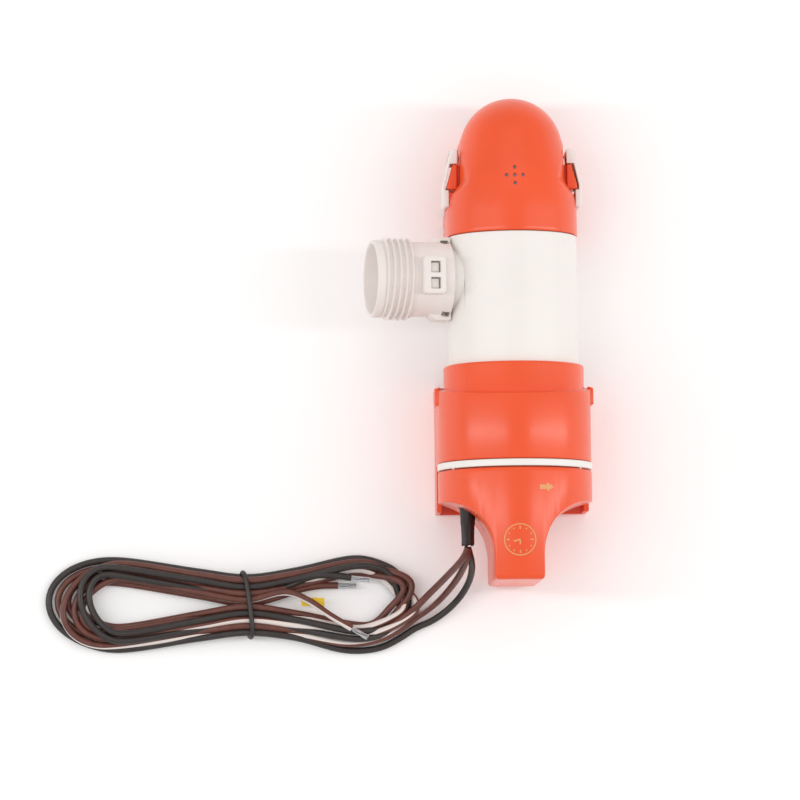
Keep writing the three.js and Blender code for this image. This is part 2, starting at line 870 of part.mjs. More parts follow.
function makeCore() {
  const stack = solid(alongY(coreOutline(0), coreStart, coreEnd));
  return cut(stack, solid(rod(shaftRadius + gap, coreStart - 1, coreEnd + 1)));
}

function makeWindings() {
  const body = solid(tube(6.8, 12.6, coreStart - 4, coreEnd + 4, 20));
  return cut(body, solid(alongY(coreOutline(gap), coreStart - gap, coreEnd + gap)));
}

function makeCommutator() {
  const ring = solid(tube(shaftRadius + gap, 5.6, 4.4, 12, 20));
  const slots = Array.from({ length: poles }, (_, i) => {
    const slot = new THREE.BoxGeometry(1.4, 9, 0.5).translate(5.6, 8.5, 0);
    return solid(turnedAboutY(slot, ((i + 0.5) * 2 * Math.PI) / poles));
  });
  return cut(ring, ...slots);
}

function makeShaft() {
  const profile = [[0, -1.2], [1.7, -1.2], [shaftRadius, -0.9], [shaftRadius, 80.2], [1.6, 80.6], [0, 80.6]];
  return solid(turned(profile, coarse));
}

function makeImpeller() {
  const bladeSteps = 4;
  const hub = solid(turned([[2.3, 62], [6, 62], [6, 70], [4.4, 76.5], [2.3, 76.5]], 16));
  const disc = solid(tube(2.3, 19.6, 63.4, 65.2));
  const blade = (index) => {
    const turn = (index * 2 * Math.PI) / 5;
    const outer = [];
    const inner = [];
    for (let step = 0; step <= bladeSteps; step++) {
      const radius = 4.9 + ((19.4 - 4.9) * step) / bladeSteps;
      const angle = turn + 0.75 * (step / bladeSteps) ** 1.2;
      const across = 0.75 / radius;
      outer.push([radius * Math.cos(angle + across), radius * Math.sin(angle + across)]);
      inner.push([radius * Math.cos(angle - across), radius * Math.sin(angle - across)]);
    }
    return solid(alongY(outline([...outer, ...inner.reverse()]), 64.5, 80));
  };
  const eyeTaper = solid(turned([[0, 76.9], [9, 76.9], [9.6, 81], [0, 81]], 16));
  const vanes = cut(joined(...[0, 1, 2, 3, 4].map(blade)), eyeTaper);
  return cut(joined(disc, hub, vanes), solid(rod(2.3, 60, 82)));
}

function makeImpellerNut() {
  const hexagon = Array.from({ length: 6 }, (_, i) => {
    const turn = i * 60 * degree;
    return [3.4 * Math.cos(turn), 3.4 * Math.sin(turn)];
  });
  return cut(solid(alongY(outline(hexagon), 77.2, 79.8)), solid(rod(2.3, 76, 81)));
}

// ---------------------------------------------------------------- timer board

function makeBoard() {
  const disc = solid(rod(21, -15.6, -14, 20));
  const holes = [-1, 1].map((side) =>
    solid(rod(1.4, -17, -12, 8).translate(0, 0, side * boardBoltZ)),
  );
  return cut(disc, ...holes);
}

// ---------------------------------------------------------------- wires

const bootX = -21.7;
const bootEnd = -45.6;
const bootStretch = 1.85; // the boot is this much taller than wide, around three wires in a row
const hankTop = 11.5;
const tieX = -122;
const tieWidth = 2.6;
const tieDepth = 1.7;

// Each wire's points, from the strain relief to the hank.
const wireRoutes = {
  wire_brown: [
    [-22, -46.8, 41.6], [-22.8, -49.6, 40.8], [-25.4, -53.2, 36.8], [-29.4, -57.4, 28.4],
    [-33.6, -61.6, 19.6], [-38, -65.8, 12.6], [-41.4, -69.2, 8.8], [-44.2, -72, 7.4],
  ],
  wire_striped: [
    [-21.7, -46.8, 37.9], [-21.8, -49.8, 36.6], [-22.8, -53.6, 31.4], [-25.4, -59, 22.4],
    [-29.6, -64.6, 13.6], [-34.4, -69.6, 7.6], [-39.8, -73.8, 4.6], [-44.3, -76.6, 3.8],
  ],
  wire_black: [
    [-21.4, -46.8, 34.2], [-20.6, -49.6, 32.4], [-19.4, -53.6, 26.4], [-20, -60, 17],
    [-24, -67.4, 8.6], [-30.6, -74, 3.6], [-38, -78.8, 2.1], [-44.2, -81.2, 2.1],
  ],
};

function makeWire(points) {
  const path = new THREE.CatmullRomCurve3(points.map((p) => new THREE.Vector3(...p)));
  const radius = wireDiameter / 2;
  const section = new THREE.Shape(
    Array.from({ length: wireSides }, (_, i) => {
      const angle = ((i + 0.5) * 2 * Math.PI) / wireSides;
      return new THREE.Vector2(radius * Math.cos(angle), radius * Math.sin(angle));
    }),
  );
  return solid(new THREE.ExtrudeGeometry(section, { steps: 14, bevelEnabled: false, extrudePath: path }));
}

function makeBoot() {
  const profile = [[0, -24], [3.4, -24], [3.6, -29], [3.1, -37], [3, -41], [2.7, bootEnd], [0, bootEnd]];
  return solid(turned(profile, 16).scale(1, 1, bootStretch).translate(bootX, 0, 0));
}

// The hank's outline: two long lobes drawn in at the tie.
function hankOutline() {
  const upper = [
    [-212.6, -66], [-209, -58.5], [-199, -53.4], [-183, -48.6], [-160, -49.4], [-136, -54.6],
    [tieX, -56.2], [-108, -54.8], [-84, -49.6], [-62, -46.8], [-52, -48.4], [-46.6, -54.4],
  ];
  const lower = [
    [-46.6, -84], [-54, -91.4], [-68, -94.2], [-86, -91], [-108, -85.4],
    [tieX, -84], [-142, -86], [-166, -88.4], [-186, -90.4], [-198, -86], [-206, -78.6],
  ];
  return new THREE.SplineCurve([...upper, ...lower, upper[0]].map(([x, y]) => new THREE.Vector2(x, y)));
}

function makeHank() {
  const rim = hankOutline().getPoints(46);
  rim.pop();
  const slab = solid(upright(new THREE.Shape(rim), 0, hankTop));
  const grooveFace = tieDepth + gap;
  const near = -55.4 - grooveFace;
  const far = -84.4 + grooveFace;
  const keep = box(tieX - 10, tieX + 10, far, near, grooveFace, hankTop - grooveFace);
  const slotHalf = tieWidth / 2 + gap;
  const slice = box(tieX - slotHalf, tieX + slotHalf, -100, -40, -1, hankTop + 1);
  const eye = outline([[-98, -69], [-88, -64.6], [-72, -63.8], [-64, -66.6], [-72, -71], [-88, -72]]);
  return cut(slab, cut(slice, keep), solid(upright(eye, -1, hankTop + 1)));
}

function makeTie() {
  const half = tieWidth / 2;
  const outer = box(tieX - half, tieX + half, -84.4, -55.4, 0, hankTop);
  const y0 = -84.4 + tieDepth;
  const y1 = -55.4 - tieDepth;
  return cut(outer, box(tieX - tieWidth, tieX + tieWidth, y0, y1, tieDepth, hankTop - tieDepth));
}

// A folded paper flag on one of the wires.
function makeTag() {
  return box(-86, -75, -70.4, -66, 3.2, 4);
}

// ---------------------------------------------------------------- assembly

piece(pump, "bracket", makeBracket(), orange);
piece(pump, "strainer", makeStrainer(), orange);

const clip = makeClip();
const clipPin = makeClipPin();
const clipSpring = makeClipSpring();
piece(pump, "clip_right", clip, white);
piece(pump, "clip_left", mirrored(clip), white);
piece(pump, "clip_pin_right", clipPin, steel);
piece(pump, "clip_pin_left", mirrored(clipPin), steel);
piece(pump, "clip_spring_right", clipSpring, steel);
piece(pump, "clip_spring_left", mirrored(clipSpring), steel);

piece(casingGroup, "casing", makeCasing(), white);
piece(casingGroup, "outlet_fitting", makeOutletFitting(), softWhite);
piece(casingGroup, "outlet_seal", solid(alongOutlet(torus(13.85, 0.85, 33.95))), rubber);
piece(casingGroup, "flap", makeFlap(), rubber);
piece(casingGroup, "flap_pin", makeFlapPin(), steel);
piece(casingGroup, "suction_cover", makeSuctionCover(), white);
coverBoltAngles.forEach((angle, index) => {
  const bolt = screw(1.9, 1.4, 1.1, 94.7, 88.4).translate(coverBoltRadius, 0, 0);
  piece(casingGroup, `cover_screw_${index + 1}`, solid(turnedAboutY(bolt, angle)), steel);
});

piece(cartridgeGroup, "cartridge_housing", makeHousing(), white);
piece(cartridgeGroup, "lock_handle", makeHandle(), orange);
piece(cartridgeGroup, "housing_seal", solid(torus(25.2, 1, 48.9)), rubber);
piece(cartridgeGroup, "cap_seal", solid(torus(29.45, 0.7, -14.5)), rubber);
flangeBoltAngles.forEach((angle, index) => {
  const bolt = screw(1.7, 1, 1.1, -9, -19).translate(flangeBoltRadius, 0, 0);
  piece(cartridgeGroup, `flange_screw_${index + 1}`, solid(turnedAboutY(bolt, angle)), steel);
});
piece(cartridgeGroup, "motor_can", makeMotorCan(), darkSteel);
piece(cartridgeGroup, "magnet_upper", makeMagnet(90 * degree), ferrite);
piece(cartridgeGroup, "magnet_lower", makeMagnet(270 * degree), ferrite);
piece(cartridgeGroup, "end_bell", makeEndBell(), nylon);
piece(cartridgeGroup, "rear_bearing", makeBearing(-0.6, 3.4), copper);
piece(cartridgeGroup, "front_bearing", makeBearing(49.4, 52.9), copper);
piece(cartridgeGroup, "shaft_seal", makeShaftSeal(), rubber);
for (const [side, name] of [[1, "right"], [-1, "left"]]) {
  piece(cartridgeGroup, `brush_${name}`, makeBrush(side), graphite);
  piece(cartridgeGroup, `brush_spring_${name}`, makeBrushSpring(side), steel);
}
piece(cartridgeGroup, "shaft", makeShaft(), steel);
piece(cartridgeGroup, "armature_core", makeCore(), darkSteel);
piece(cartridgeGroup, "windings", makeWindings(), copper);
piece(cartridgeGroup, "commutator", makeCommutator(), copper);
piece(cartridgeGroup, "impeller", makeImpeller(), nylon);
piece(cartridgeGroup, "impeller_nut", makeImpellerNut(), steel);
piece(cartridgeGroup, "timer_board", makeBoard(), boardGreen);
piece(cartridgeGroup, "timer_chip", box(4, 11, -13.7, -12, -4, 3), black);
piece(cartridgeGroup, "board_capacitor", solid(rod(3.6, -13.7, -4).translate(-9, 0, 6)), black);
[-1, 1].forEach((side, index) => {
  const bolt = screw(2, 1.2, 0.8, -12.5, -21).translate(0, 0, side * boardBoltZ);
  piece(cartridgeGroup, `board_screw_${index + 1}`, solid(bolt), steel);
});
piece(cartridgeGroup, "cable_boot", makeBoot(), rubber);

piece(pump, "wire_brown", makeWire(wireRoutes.wire_brown), brown);
piece(pump, "wire_striped", makeWire(wireRoutes.wire_striped), brown);
piece(pump, "wire_black", makeWire(wireRoutes.wire_black), black);
piece(pump, "wire_hank", makeHank(), brown);
piece(pump, "hank_tie", makeTie(), black);
piece(pump, "wire_tag", makeTag(), yellow);

export default pump;
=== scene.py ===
"""A bilge pump lying on its bracket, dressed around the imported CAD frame.

Shapes are drawn in millimetres and scaled once, when their mesh is made. The pump's axis runs along
+Y at the height AXIS; the strainer's nose points to +Y and the outlet to -X.
"""
import json
import math
import random

import bmesh
import bpy
import numpy as np
from mathutils import Matrix, Vector


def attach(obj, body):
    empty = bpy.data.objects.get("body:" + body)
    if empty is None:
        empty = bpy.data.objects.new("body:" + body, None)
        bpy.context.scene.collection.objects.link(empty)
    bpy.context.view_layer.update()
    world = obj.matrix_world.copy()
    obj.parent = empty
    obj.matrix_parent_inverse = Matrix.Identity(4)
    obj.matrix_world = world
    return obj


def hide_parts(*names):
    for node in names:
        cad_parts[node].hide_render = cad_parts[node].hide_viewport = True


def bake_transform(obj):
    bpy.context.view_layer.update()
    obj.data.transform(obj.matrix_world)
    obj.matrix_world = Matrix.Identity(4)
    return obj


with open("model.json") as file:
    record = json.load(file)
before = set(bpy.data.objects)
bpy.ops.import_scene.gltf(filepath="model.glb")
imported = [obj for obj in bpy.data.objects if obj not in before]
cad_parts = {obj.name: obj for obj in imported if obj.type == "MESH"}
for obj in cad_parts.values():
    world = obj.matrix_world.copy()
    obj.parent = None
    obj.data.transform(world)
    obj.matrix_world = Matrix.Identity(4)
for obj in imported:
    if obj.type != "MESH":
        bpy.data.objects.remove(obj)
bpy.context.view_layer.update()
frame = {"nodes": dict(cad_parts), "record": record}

MM = 0.001
AXIS = 37.8
TILT = math.radians(10)  # of the outlet above the floor's plane
OUTLET_Y = 75.0
ROOT, SWIVEL, CARTRIDGE = "mounted_frame", "swivel_casing", "cartridge"
rng = random.Random(7)

# ---------------------------------------------------------------- camera


def make_camera():
    eye = Vector((-0.131, -0.172, 2.25))
    target = Vector((-0.0505, 0.0241, 0.0))
    data = bpy.data.cameras.new("camera")
    data.lens = 220.0
    data.sensor_width = 36
    data.clip_end = 20
    camera = bpy.data.objects.new("camera", data)
    bpy.context.scene.collection.objects.link(camera)
    back = (eye - target).normalized()
    right = Vector((0, 1, 0)).cross(back).normalized()
    up = back.cross(right)
    roll = math.radians(-0.6)
    turned_right = right * math.cos(roll) + up * math.sin(roll)
    turned_up = up * math.cos(roll) - right * math.sin(roll)
    basis = Matrix((turned_right, turned_up, back)).transposed()
    camera.matrix_world = Matrix.Translation(eye) @ basis.to_4x4()
    bpy.context.scene.camera = camera


make_camera()

# ---------------------------------------------------------------- materials


def new_material(name):
    material = bpy.data.materials.new(name)
    material.use_nodes = True
    tree = material.node_tree
    shader = tree.nodes["Principled BSDF"]
    return material, tree, shader


def node(tree, kind, **inputs):
    made = tree.nodes.new(kind)
    for key, value in inputs.items():
        made.inputs[key.replace("_", " ")].default_value = value
    return made


def ramp(tree, source, low, high, start=0.3, end=0.7):
    made = tree.nodes.new("ShaderNodeValToRGB")
    made.color_ramp.elements[0].position = start
    made.color_ramp.elements[1].position = end
    made.color_ramp.elements[0].color = low
    made.color_ramp.elements[1].color = high
    tree.links.new(source, made.inputs["Fac"])
    return made.outputs["Color"]


def spread(tree, source, low, high):
    made = node(tree, "ShaderNodeMapRange", To_Min=low, To_Max=high)
    tree.links.new(source, made.inputs["Value"])
    return made.outputs["Result"]


def shade(color, factor):
    return tuple(min(c * factor, 1) for c in color[:3]) + (1,)


def noise(tree, scale, detail=3, roughness=0.5):
    made = node(tree, "ShaderNodeTexNoise", Scale=scale, Detail=detail, Roughness=roughness)
    place = tree.nodes.new("ShaderNodeTexCoord")
    tree.links.new(place.outputs["Object"], made.inputs["Vector"])
    return made.outputs["Fac"]


def moulded(
    name, color, roughness=0.36, grain=2600, relief=0.00002, mottle=0.04, soft=0.0, edge=0.35, sheen=0.0
):
    """Moulded plastic: faint flow mottling, a fine eroded grain and softly rounded edges."""
    material, tree, shader = new_material(name)
    shader.inputs["Specular IOR Level"].default_value = 0.42
    tint = ramp(tree, noise(tree, 38, 4), shade(color, 1 - mottle), shade(color, 1 + mottle))
    tree.links.new(tint, shader.inputs["Base Color"])
    tree.links.new(
        spread(tree, noise(tree, 420, 3), roughness - 0.05, roughness + 0.06),
        shader.inputs["Roughness"],
    )
    if sheen:
        shader.inputs["Coat Weight"].default_value = sheen
        shader.inputs["Coat Roughness"].default_value = 0.2
    if soft:
        shader.inputs["Subsurface Weight"].default_value = soft
        shader.inputs["Subsurface Radius"].default_value = (0.9, 0.5, 0.35)
        shader.inputs["Subsurface Scale"].default_value = 0.002
    bump = node(tree, "ShaderNodeBump", Strength=0.35, Distance=relief)
    tree.links.new(noise(tree, grain, 4, 0.6), bump.inputs["Height"])
    if edge:
        rounded_edge = node(tree, "ShaderNodeBevel", Radius=edge * MM)
        rounded_edge.samples = 6
        tree.links.new(rounded_edge.outputs["Normal"], bump.inputs["Normal"])
    tree.links.new(bump.outputs["Normal"], shader.inputs["Normal"])
    return material


def metallic(name, color, roughness=0.3, stretch=(1, 40, 1)):
    """Drawn or brushed metal with fine streaks."""
    material, tree, shader = new_material(name)
    shader.inputs["Metallic"].default_value = 1
    place = tree.nodes.new("ShaderNodeTexCoord")
    mapping = tree.nodes.new("ShaderNodeMapping")
    mapping.inputs["Scale"].default_value = stretch
    tree.links.new(place.outputs["Object"], mapping.inputs["Vector"])
    streaks = node(tree, "ShaderNodeTexNoise", Scale=300, Detail=3)
    tree.links.new(mapping.outputs["Vector"], streaks.inputs["Vector"])
    tint = ramp(tree, streaks.outputs["Fac"], shade(color, 0.82), shade(color, 1.15))
    tree.links.new(tint, shader.inputs["Base Color"])
    tree.links.new(
        spread(tree, streaks.outputs["Fac"], roughness - 0.08, roughness + 0.12),
        shader.inputs["Roughness"],
    )
    bump = node(tree, "ShaderNodeBump", Strength=0.2, Distance=0.00001)
    tree.links.new(streaks.outputs["Fac"], bump.inputs["Height"])
    tree.links.new(bump.outputs["Normal"], shader.inputs["Normal"])
    return material


def insulation(name, color, stripe=None):
    """Satin PVC. A stripe winds around the tube, by the tube's own U coordinate."""
    material, tree, shader = new_material(name)
    tint = ramp(tree, noise(tree, 240, 4), shade(color, 0.85), shade(color, 1.2))
    if stripe:
        uv = tree.nodes.new("ShaderNodeUVMap")
        uv.uv_map = "around"
        split = tree.nodes.new("ShaderNodeSeparateXYZ")
        tree.links.new(uv.outputs["UV"], split.inputs["Vector"])
        wrapped = tree.nodes.new("ShaderNodeMath")
        wrapped.operation = "FRACT"
        tree.links.new(split.outputs["X"], wrapped.inputs[0])
        mask = ramp(tree, wrapped.outputs[0], (0, 0, 0, 1), (1, 1, 1, 1), 0.34, 0.355)
        far = ramp(tree, wrapped.outputs[0], (1, 1, 1, 1), (0, 0, 0, 1), 0.64, 0.655)
        both = tree.nodes.new("ShaderNodeMath")
        both.operation = "MULTIPLY"
        tree.links.new(mask, both.inputs[0])
        tree.links.new(far, both.inputs[1])
        mix = tree.nodes.new("ShaderNodeMix")
        mix.data_type = "RGBA"
        tree.links.new(both.outputs[0], mix.inputs["Factor"])
        tree.links.new(tint, mix.inputs["A"])
        mix.inputs["B"].default_value = stripe
        tint = mix.outputs["Result"]
    tree.links.new(tint, shader.inputs["Base Color"])
    tree.links.new(spread(tree, noise(tree, 900, 3), 0.3, 0.48), shader.inputs["Roughness"])
    bump = node(tree, "ShaderNodeBump", Strength=0.4, Distance=0.00003)
    tree.links.new(noise(tree, 700, 3), bump.inputs["Height"])
    tree.links.new(bump.outputs["Normal"], shader.inputs["Normal"])
    return material


def printed(name, color):
    """Pad-printed ink, slightly uneven."""
    material, tree, shader = new_material(name)
    tint = ramp(tree, noise(tree, 1500, 4, 0.7), shade(color, 0.88), shade(color, 1.06))
    tree.links.new(tint, shader.inputs["Base Color"])
    tree.links.new(spread(tree, noise(tree, 800), 0.45, 0.6), shader.inputs["Roughness"])
    return material


MATERIALS = {
    "orange_plastic": moulded("orange_plastic", (0.87, 0.084, 0.013), 0.33, soft=0.08, sheen=0.3),
    "white_plastic": moulded("white_plastic", (0.87, 0.83, 0.79), 0.36, mottle=0.015, soft=0.08),
    "port_plastic": moulded("port_plastic", (0.83, 0.765, 0.73), 0.42, mottle=0.015, soft=0.1),
    "steel": metallic("steel", (0.62, 0.63, 0.65)),
    "plated_steel": metallic("plated_steel", (0.35, 0.36, 0.38), 0.38),
    "copper": metallic("copper", (0.78, 0.38, 0.2), 0.28),
    "black_rubber": moulded("black_rubber", (0.022, 0.02, 0.02), 0.55, 1800, 0.00004, 0.2, edge=0.2),
    "graphite": moulded("graphite", (0.05, 0.05, 0.052), 0.6, 2400, 0.00004, 0.2),
    "nylon": moulded("nylon", (0.62, 0.57, 0.45), 0.5, 1800, soft=0.1),
    "board": moulded("board", (0.03, 0.15, 0.06), 0.3, 900, mottle=0.15),
    "black_plastic": moulded("black_plastic", (0.03, 0.03, 0.03), 0.45),
    "wire_brown": insulation("wire_brown", (0.125, 0.038, 0.026)),
    "wire_striped": insulation("wire_striped", (0.125, 0.038, 0.026), (0.78, 0.70, 0.66, 1)),
    "wire_black": insulation("wire_black", (0.03, 0.023, 0.021)),
    "tag_yellow": moulded("tag_yellow", (0.88, 0.60, 0.03), 0.5, 1200, 0.00005, 0.1, edge=0),
    "ink": printed("ink", (0.80, 0.36, 0.13)),
}


def dress(obj, name):
    obj.data.materials.clear()
    obj.data.materials.append(MATERIALS[name])


def dress_frame():
    """Every carried-over CAD node gets its slot's material."""
    for part in frame["record"]["subparts"]:
        if part["node"] in frame["nodes"]:
            dress(frame["nodes"][part["node"]], part["material_slot"])


dress_frame()

# ---------------------------------------------------------------- mesh tools


def mesh_object(name, points, faces, material):
    mesh = bpy.data.meshes.new(name)
    mesh.from_pydata([Vector(p) * MM for p in points], [], faces)
    mesh.validate()
    obj = bpy.data.objects.new(name, mesh)
    bpy.context.scene.collection.objects.link(obj)
    tidy_normals(mesh)
    dress(obj, material)
    return obj


def tidy_normals(mesh):
    form = bmesh.new()
    form.from_mesh(mesh)
    bmesh.ops.remove_doubles(form, verts=form.verts, dist=1e-7)
    bmesh.ops.recalc_face_normals(form, faces=form.faces)
    form.to_mesh(mesh)
    form.free()


def grid_faces(rows, columns, wrap_rows=False, wrap_columns=False):
    faces = []
    for i in range(rows if wrap_rows else rows - 1):
        for j in range(columns if wrap_columns else columns - 1):
            a, b = i * columns + j, i * columns + (j + 1) % columns
            below = ((i + 1) % rows) * columns
            faces.append((a, b, below + (j + 1) % columns, below + j))
    return faces


def filleted(points, radius, closed=True, steps=4):
    """The outline with each corner rounded, by at most a third of its shorter side."""
    result = []
    count = len(points)
    for i in range(count):
        here = Vector(points[i])
        if not closed and i in (0, count - 1):
            result.append(tuple(here))
            continue
        before, after = Vector(points[i - 1]) - here, Vector(points[(i + 1) % count]) - here
        reach = min(radius, before.length / 3, after.length / 3)
        start, end = here + before.normalized() * reach, here + after.normalized() * reach
        for k in range(steps + 1):
            t = k / steps
            result.append(tuple(start * (1 - t) ** 2 + here * 2 * t * (1 - t) + end * t * t))
    return result


def turned(name, profile, material, segments=120, open_ends=False):
    """A solid of revolution about the pump's own direction, from [radius, y] points, at the origin."""
    points = []
    for radius, y in profile:
        for k in range(segments):
            angle = k * 2 * math.pi / segments
            points.append((radius * math.cos(angle), y, radius * math.sin(angle)))
    faces = grid_faces(len(profile), segments, not open_ends, True)
    return mesh_object(name, points, faces, material)


def rod(radius, y0, y1, segments=64, material="white_plastic"):
    return turned("rod", [(1e-3, y0), (radius, y0), (radius, y1), (1e-3, y1)], material, segments)


def prism(name, outline, low, high, along, material):
    """An outline extruded along X, Y or Z. It is drawn in (y, z), (x, z) or (x, y)."""
    place = {
        "X": lambda p, h: (h, p[0], p[1]),
        "Y": lambda p, h: (p[0], h, p[1]),
        "Z": lambda p, h: (p[0], p[1], h),
    }[along]
    count = len(outline)
    points = [place(p, low) for p in outline] + [place(p, high) for p in outline]
    faces = [tuple(range(count)), tuple(range(count, 2 * count))]
    faces += [(i, (i + 1) % count, count + (i + 1) % count, count + i) for i in range(count)]
    return mesh_object(name, points, faces, material)


def block(x0, x1, y0, y1, z0, z1, material="white_plastic"):
    return prism("block", [(x0, y0), (x1, y0), (x1, y1), (x0, y1)], z0, z1, "Z", material)


def loft(name, rings, material):
    """A closed solid through rings of equal length."""
    count = len(rings[0])
    points = [p for ring in rings for p in ring]
    faces = grid_faces(len(rings), count, False, True)
    last = (len(rings) - 1) * count
    faces += [tuple(range(count)), tuple(range(last, last + count))]
    return mesh_object(name, points, faces, material)


def move(obj, x=0.0, y=0.0, z=0.0):
    obj.data.transform(Matrix.Translation(Vector((x, y, z)) * MM))
    return obj


def turn(obj, angle, axis="Y"):
    obj.data.transform(Matrix.Rotation(angle, 4, axis))
    return obj


def mirror_copy(obj, name=None):
    twin = obj.copy()
    twin.data = obj.data.copy()
    twin.name = name or obj.name + "_twin"
    bpy.context.scene.collection.objects.link(twin)
    twin.data.transform(Matrix.Diagonal((-1, 1, 1, 1)))
    twin.data.flip_normals()
    return twin


def apply_modifiers(obj):
    bpy.context.view_layer.update()
    graph = bpy.context.evaluated_depsgraph_get()
    made = bpy.data.meshes.new_from_object(obj.evaluated_get(graph))
    obj.modifiers.clear()
    obj.data = made
    return obj


def combine(obj, operation, *tools):
    for tool in tools:
        modifier = obj.modifiers.new("combine", "BOOLEAN")
        modifier.operation = operation
        modifier.solver = "EXACT"
        modifier.object = tool
        apply_modifiers(obj)
        bpy.data.objects.remove(tool)
    return obj


def cut(obj, *tools):
    return combine(obj, "DIFFERENCE", *tools)


def join(obj, *tools):
    return combine(obj, "UNION", *tools)


def soften(obj, width, angle=38, segments=3, keep=None):
    """Rounds the edges sharper than an angle, except those with an end where keep(x, y, z) holds."""
    form = bmesh.new()
    form.from_mesh(obj.data)
    weights = form.edges.layers.float.new("bevel_weight_edge")
    for edge in form.edges:
        sharp = len(edge.link_faces) == 2 and edge.calc_face_angle(0) > math.radians(angle)
        kept = keep and any(keep(*(v.co / MM)) for v in edge.verts)
        edge[weights] = 1.0 if sharp and not kept else 0.0
    form.to_mesh(obj.data)
    form.free()
    modifier = obj.modifiers.new("edges", "BEVEL")
    modifier.width = width * MM
    modifier.segments = segments
    modifier.limit_method = "WEIGHT"
    modifier.use_clamp_overlap = False
    apply_modifiers(obj)
    return obj


def smooth(obj, angle=32):
    obj.data.shade_smooth()
    obj.data.set_sharp_from_angle(angle=math.radians(angle))
    return obj


def finish_piece(obj, name, body, *replaced, slot=None):
    obj.name = name
    obj.data.name = name
    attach(obj, body)
    if replaced:
        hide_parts(*replaced)
    return obj


def merged(obj, *others):
    """One object from several closed shells."""
    form = bmesh.new()
    for part in (obj, *others):
        form.from_mesh(part.data)
    form.to_mesh(obj.data)
    form.free()
    for part in others:
        bpy.data.objects.remove(part)
    return obj


def casing_place(obj):
    """From the casing's own upright frame, centred on the pump's axis, to its tilted place."""
    return move(turn(obj, TILT), z=AXIS)


# ---------------------------------------------------------------- leads

WIRE = 3.1
TWIST = 3.4  # turns of a stripe around its lead, end to end
TIE = (-122.0, -70.3)  # where the tie holds the hank
SLOT_STEP = 1.5
SLOT_HEIGHTS = (3.9, 6.8)  # of the two layers in the tie
HANK_Y = -69.6
LOBE_X = {1: -71.0, -1: -182.0}  # centres of the loops' round ends, right and left of the tie
LOBE_STRETCH = 1.45
LOOPS = 9
# In-plane radius and height of each nested loop, from the outermost inwards.
LOOP_RADII = (19.6, 17.9, 16.3, 16.1, 14.6, 13.1, 12.8, 11.3, 9.7)
LOOP_HEIGHTS = (1.7, 4.5, 1.7, 7.3, 4.6, 1.7, 7.3, 4.5, 1.7)
# How far the loops of each layer stray, outwards and across, right of the tie and left of it.
DRIFT_RIGHT = {1.7: (1.0, -2.4), 4.5: (-2.0, 2.4), 7.3: (6.0, 3.0)}
DRIFT_LEFT = {1.7: (3.0, 1.8), 4.5: (-1.0, -3.4), 7.3: (-6.0, 4.0)}


def slot_at(index, upper):
    """Place of a pass where the tie holds it: the passes lie in two zigzag layers."""
    order = index if upper else 2 * LOOPS - 1 - index
    y = TIE[1] + SLOT_STEP * (LOOPS - 0.5 - order)
    return (TIE[0], y, SLOT_HEIGHTS[order % 2])


def lobe(index_in, index_out, side, wander):
    """Points of one loop beyond the tie. It leaves in slot index_in and comes back in index_out."""
    going_up = side < 0  # the left loops come back along the upper side
    drift = DRIFT_LEFT if side < 0 else DRIFT_RIGHT
    strays = [drift[min(drift, key=lambda h: abs(h - height))] for height in LOOP_HEIGHTS]
    centre_x = LOBE_X[side]
    points = []
    for k in range(9):
        t = k / 8
        angle = math.pi * (t - 0.5)
        index = index_in * (1 - t) + index_out * t
        radius = float(np.interp(index, range(LOOPS), LOOP_RADII))
        height = float(np.interp(index, range(LOOPS), LOOP_HEIGHTS))
        if not going_up:
            angle = -angle
        out, across = (float(np.interp(index, range(LOOPS), [s[j] for s in strays])) for j in (0, 1))
        reach = radius * LOBE_STRETCH + out + wander[0]
        x = centre_x + side * math.cos(angle) * reach
        y = HANK_Y + math.sin(angle) * radius * 1.05 + (across + 0.4 * wander[1]) * math.cos(angle)
        points.append((x, y, height + 0.3 * wander[2] * math.cos(angle) ** 2))
    return points


def neck(index, upper, side):
    """A point between the tie and a lobe."""
    x, y, z = slot_at(index, upper)
    radius, height = LOOP_RADII[index], LOOP_HEIGHTS[index]
    far = HANK_Y + (radius if upper else -radius)
    return (x + side * 22, y * 0.62 + far * 0.38, z * 0.6 + height * 0.4)


def hank_route(order, entry, tail):
    """All of one lead's points: its way in, six passes through the tie, and its end."""
    points = list(entry)
    for lap in range(3):
        index = order + 3 * lap
        points += [neck(index, False, 1), slot_at(index, False), neck(index, False, -1)]
        wander = [rng.uniform(-1, 1) for _ in range(3)]
        points += lobe(index, index, -1, wander)
        points += [neck(index, True, -1), slot_at(index, True)]
        if lap < 2:
            points.append(neck(index, True, 1))
            wander = [rng.uniform(-1, 1) for _ in range(3)]
            points += lobe(index, index + 3, 1, wander)
    return points + list(tail)


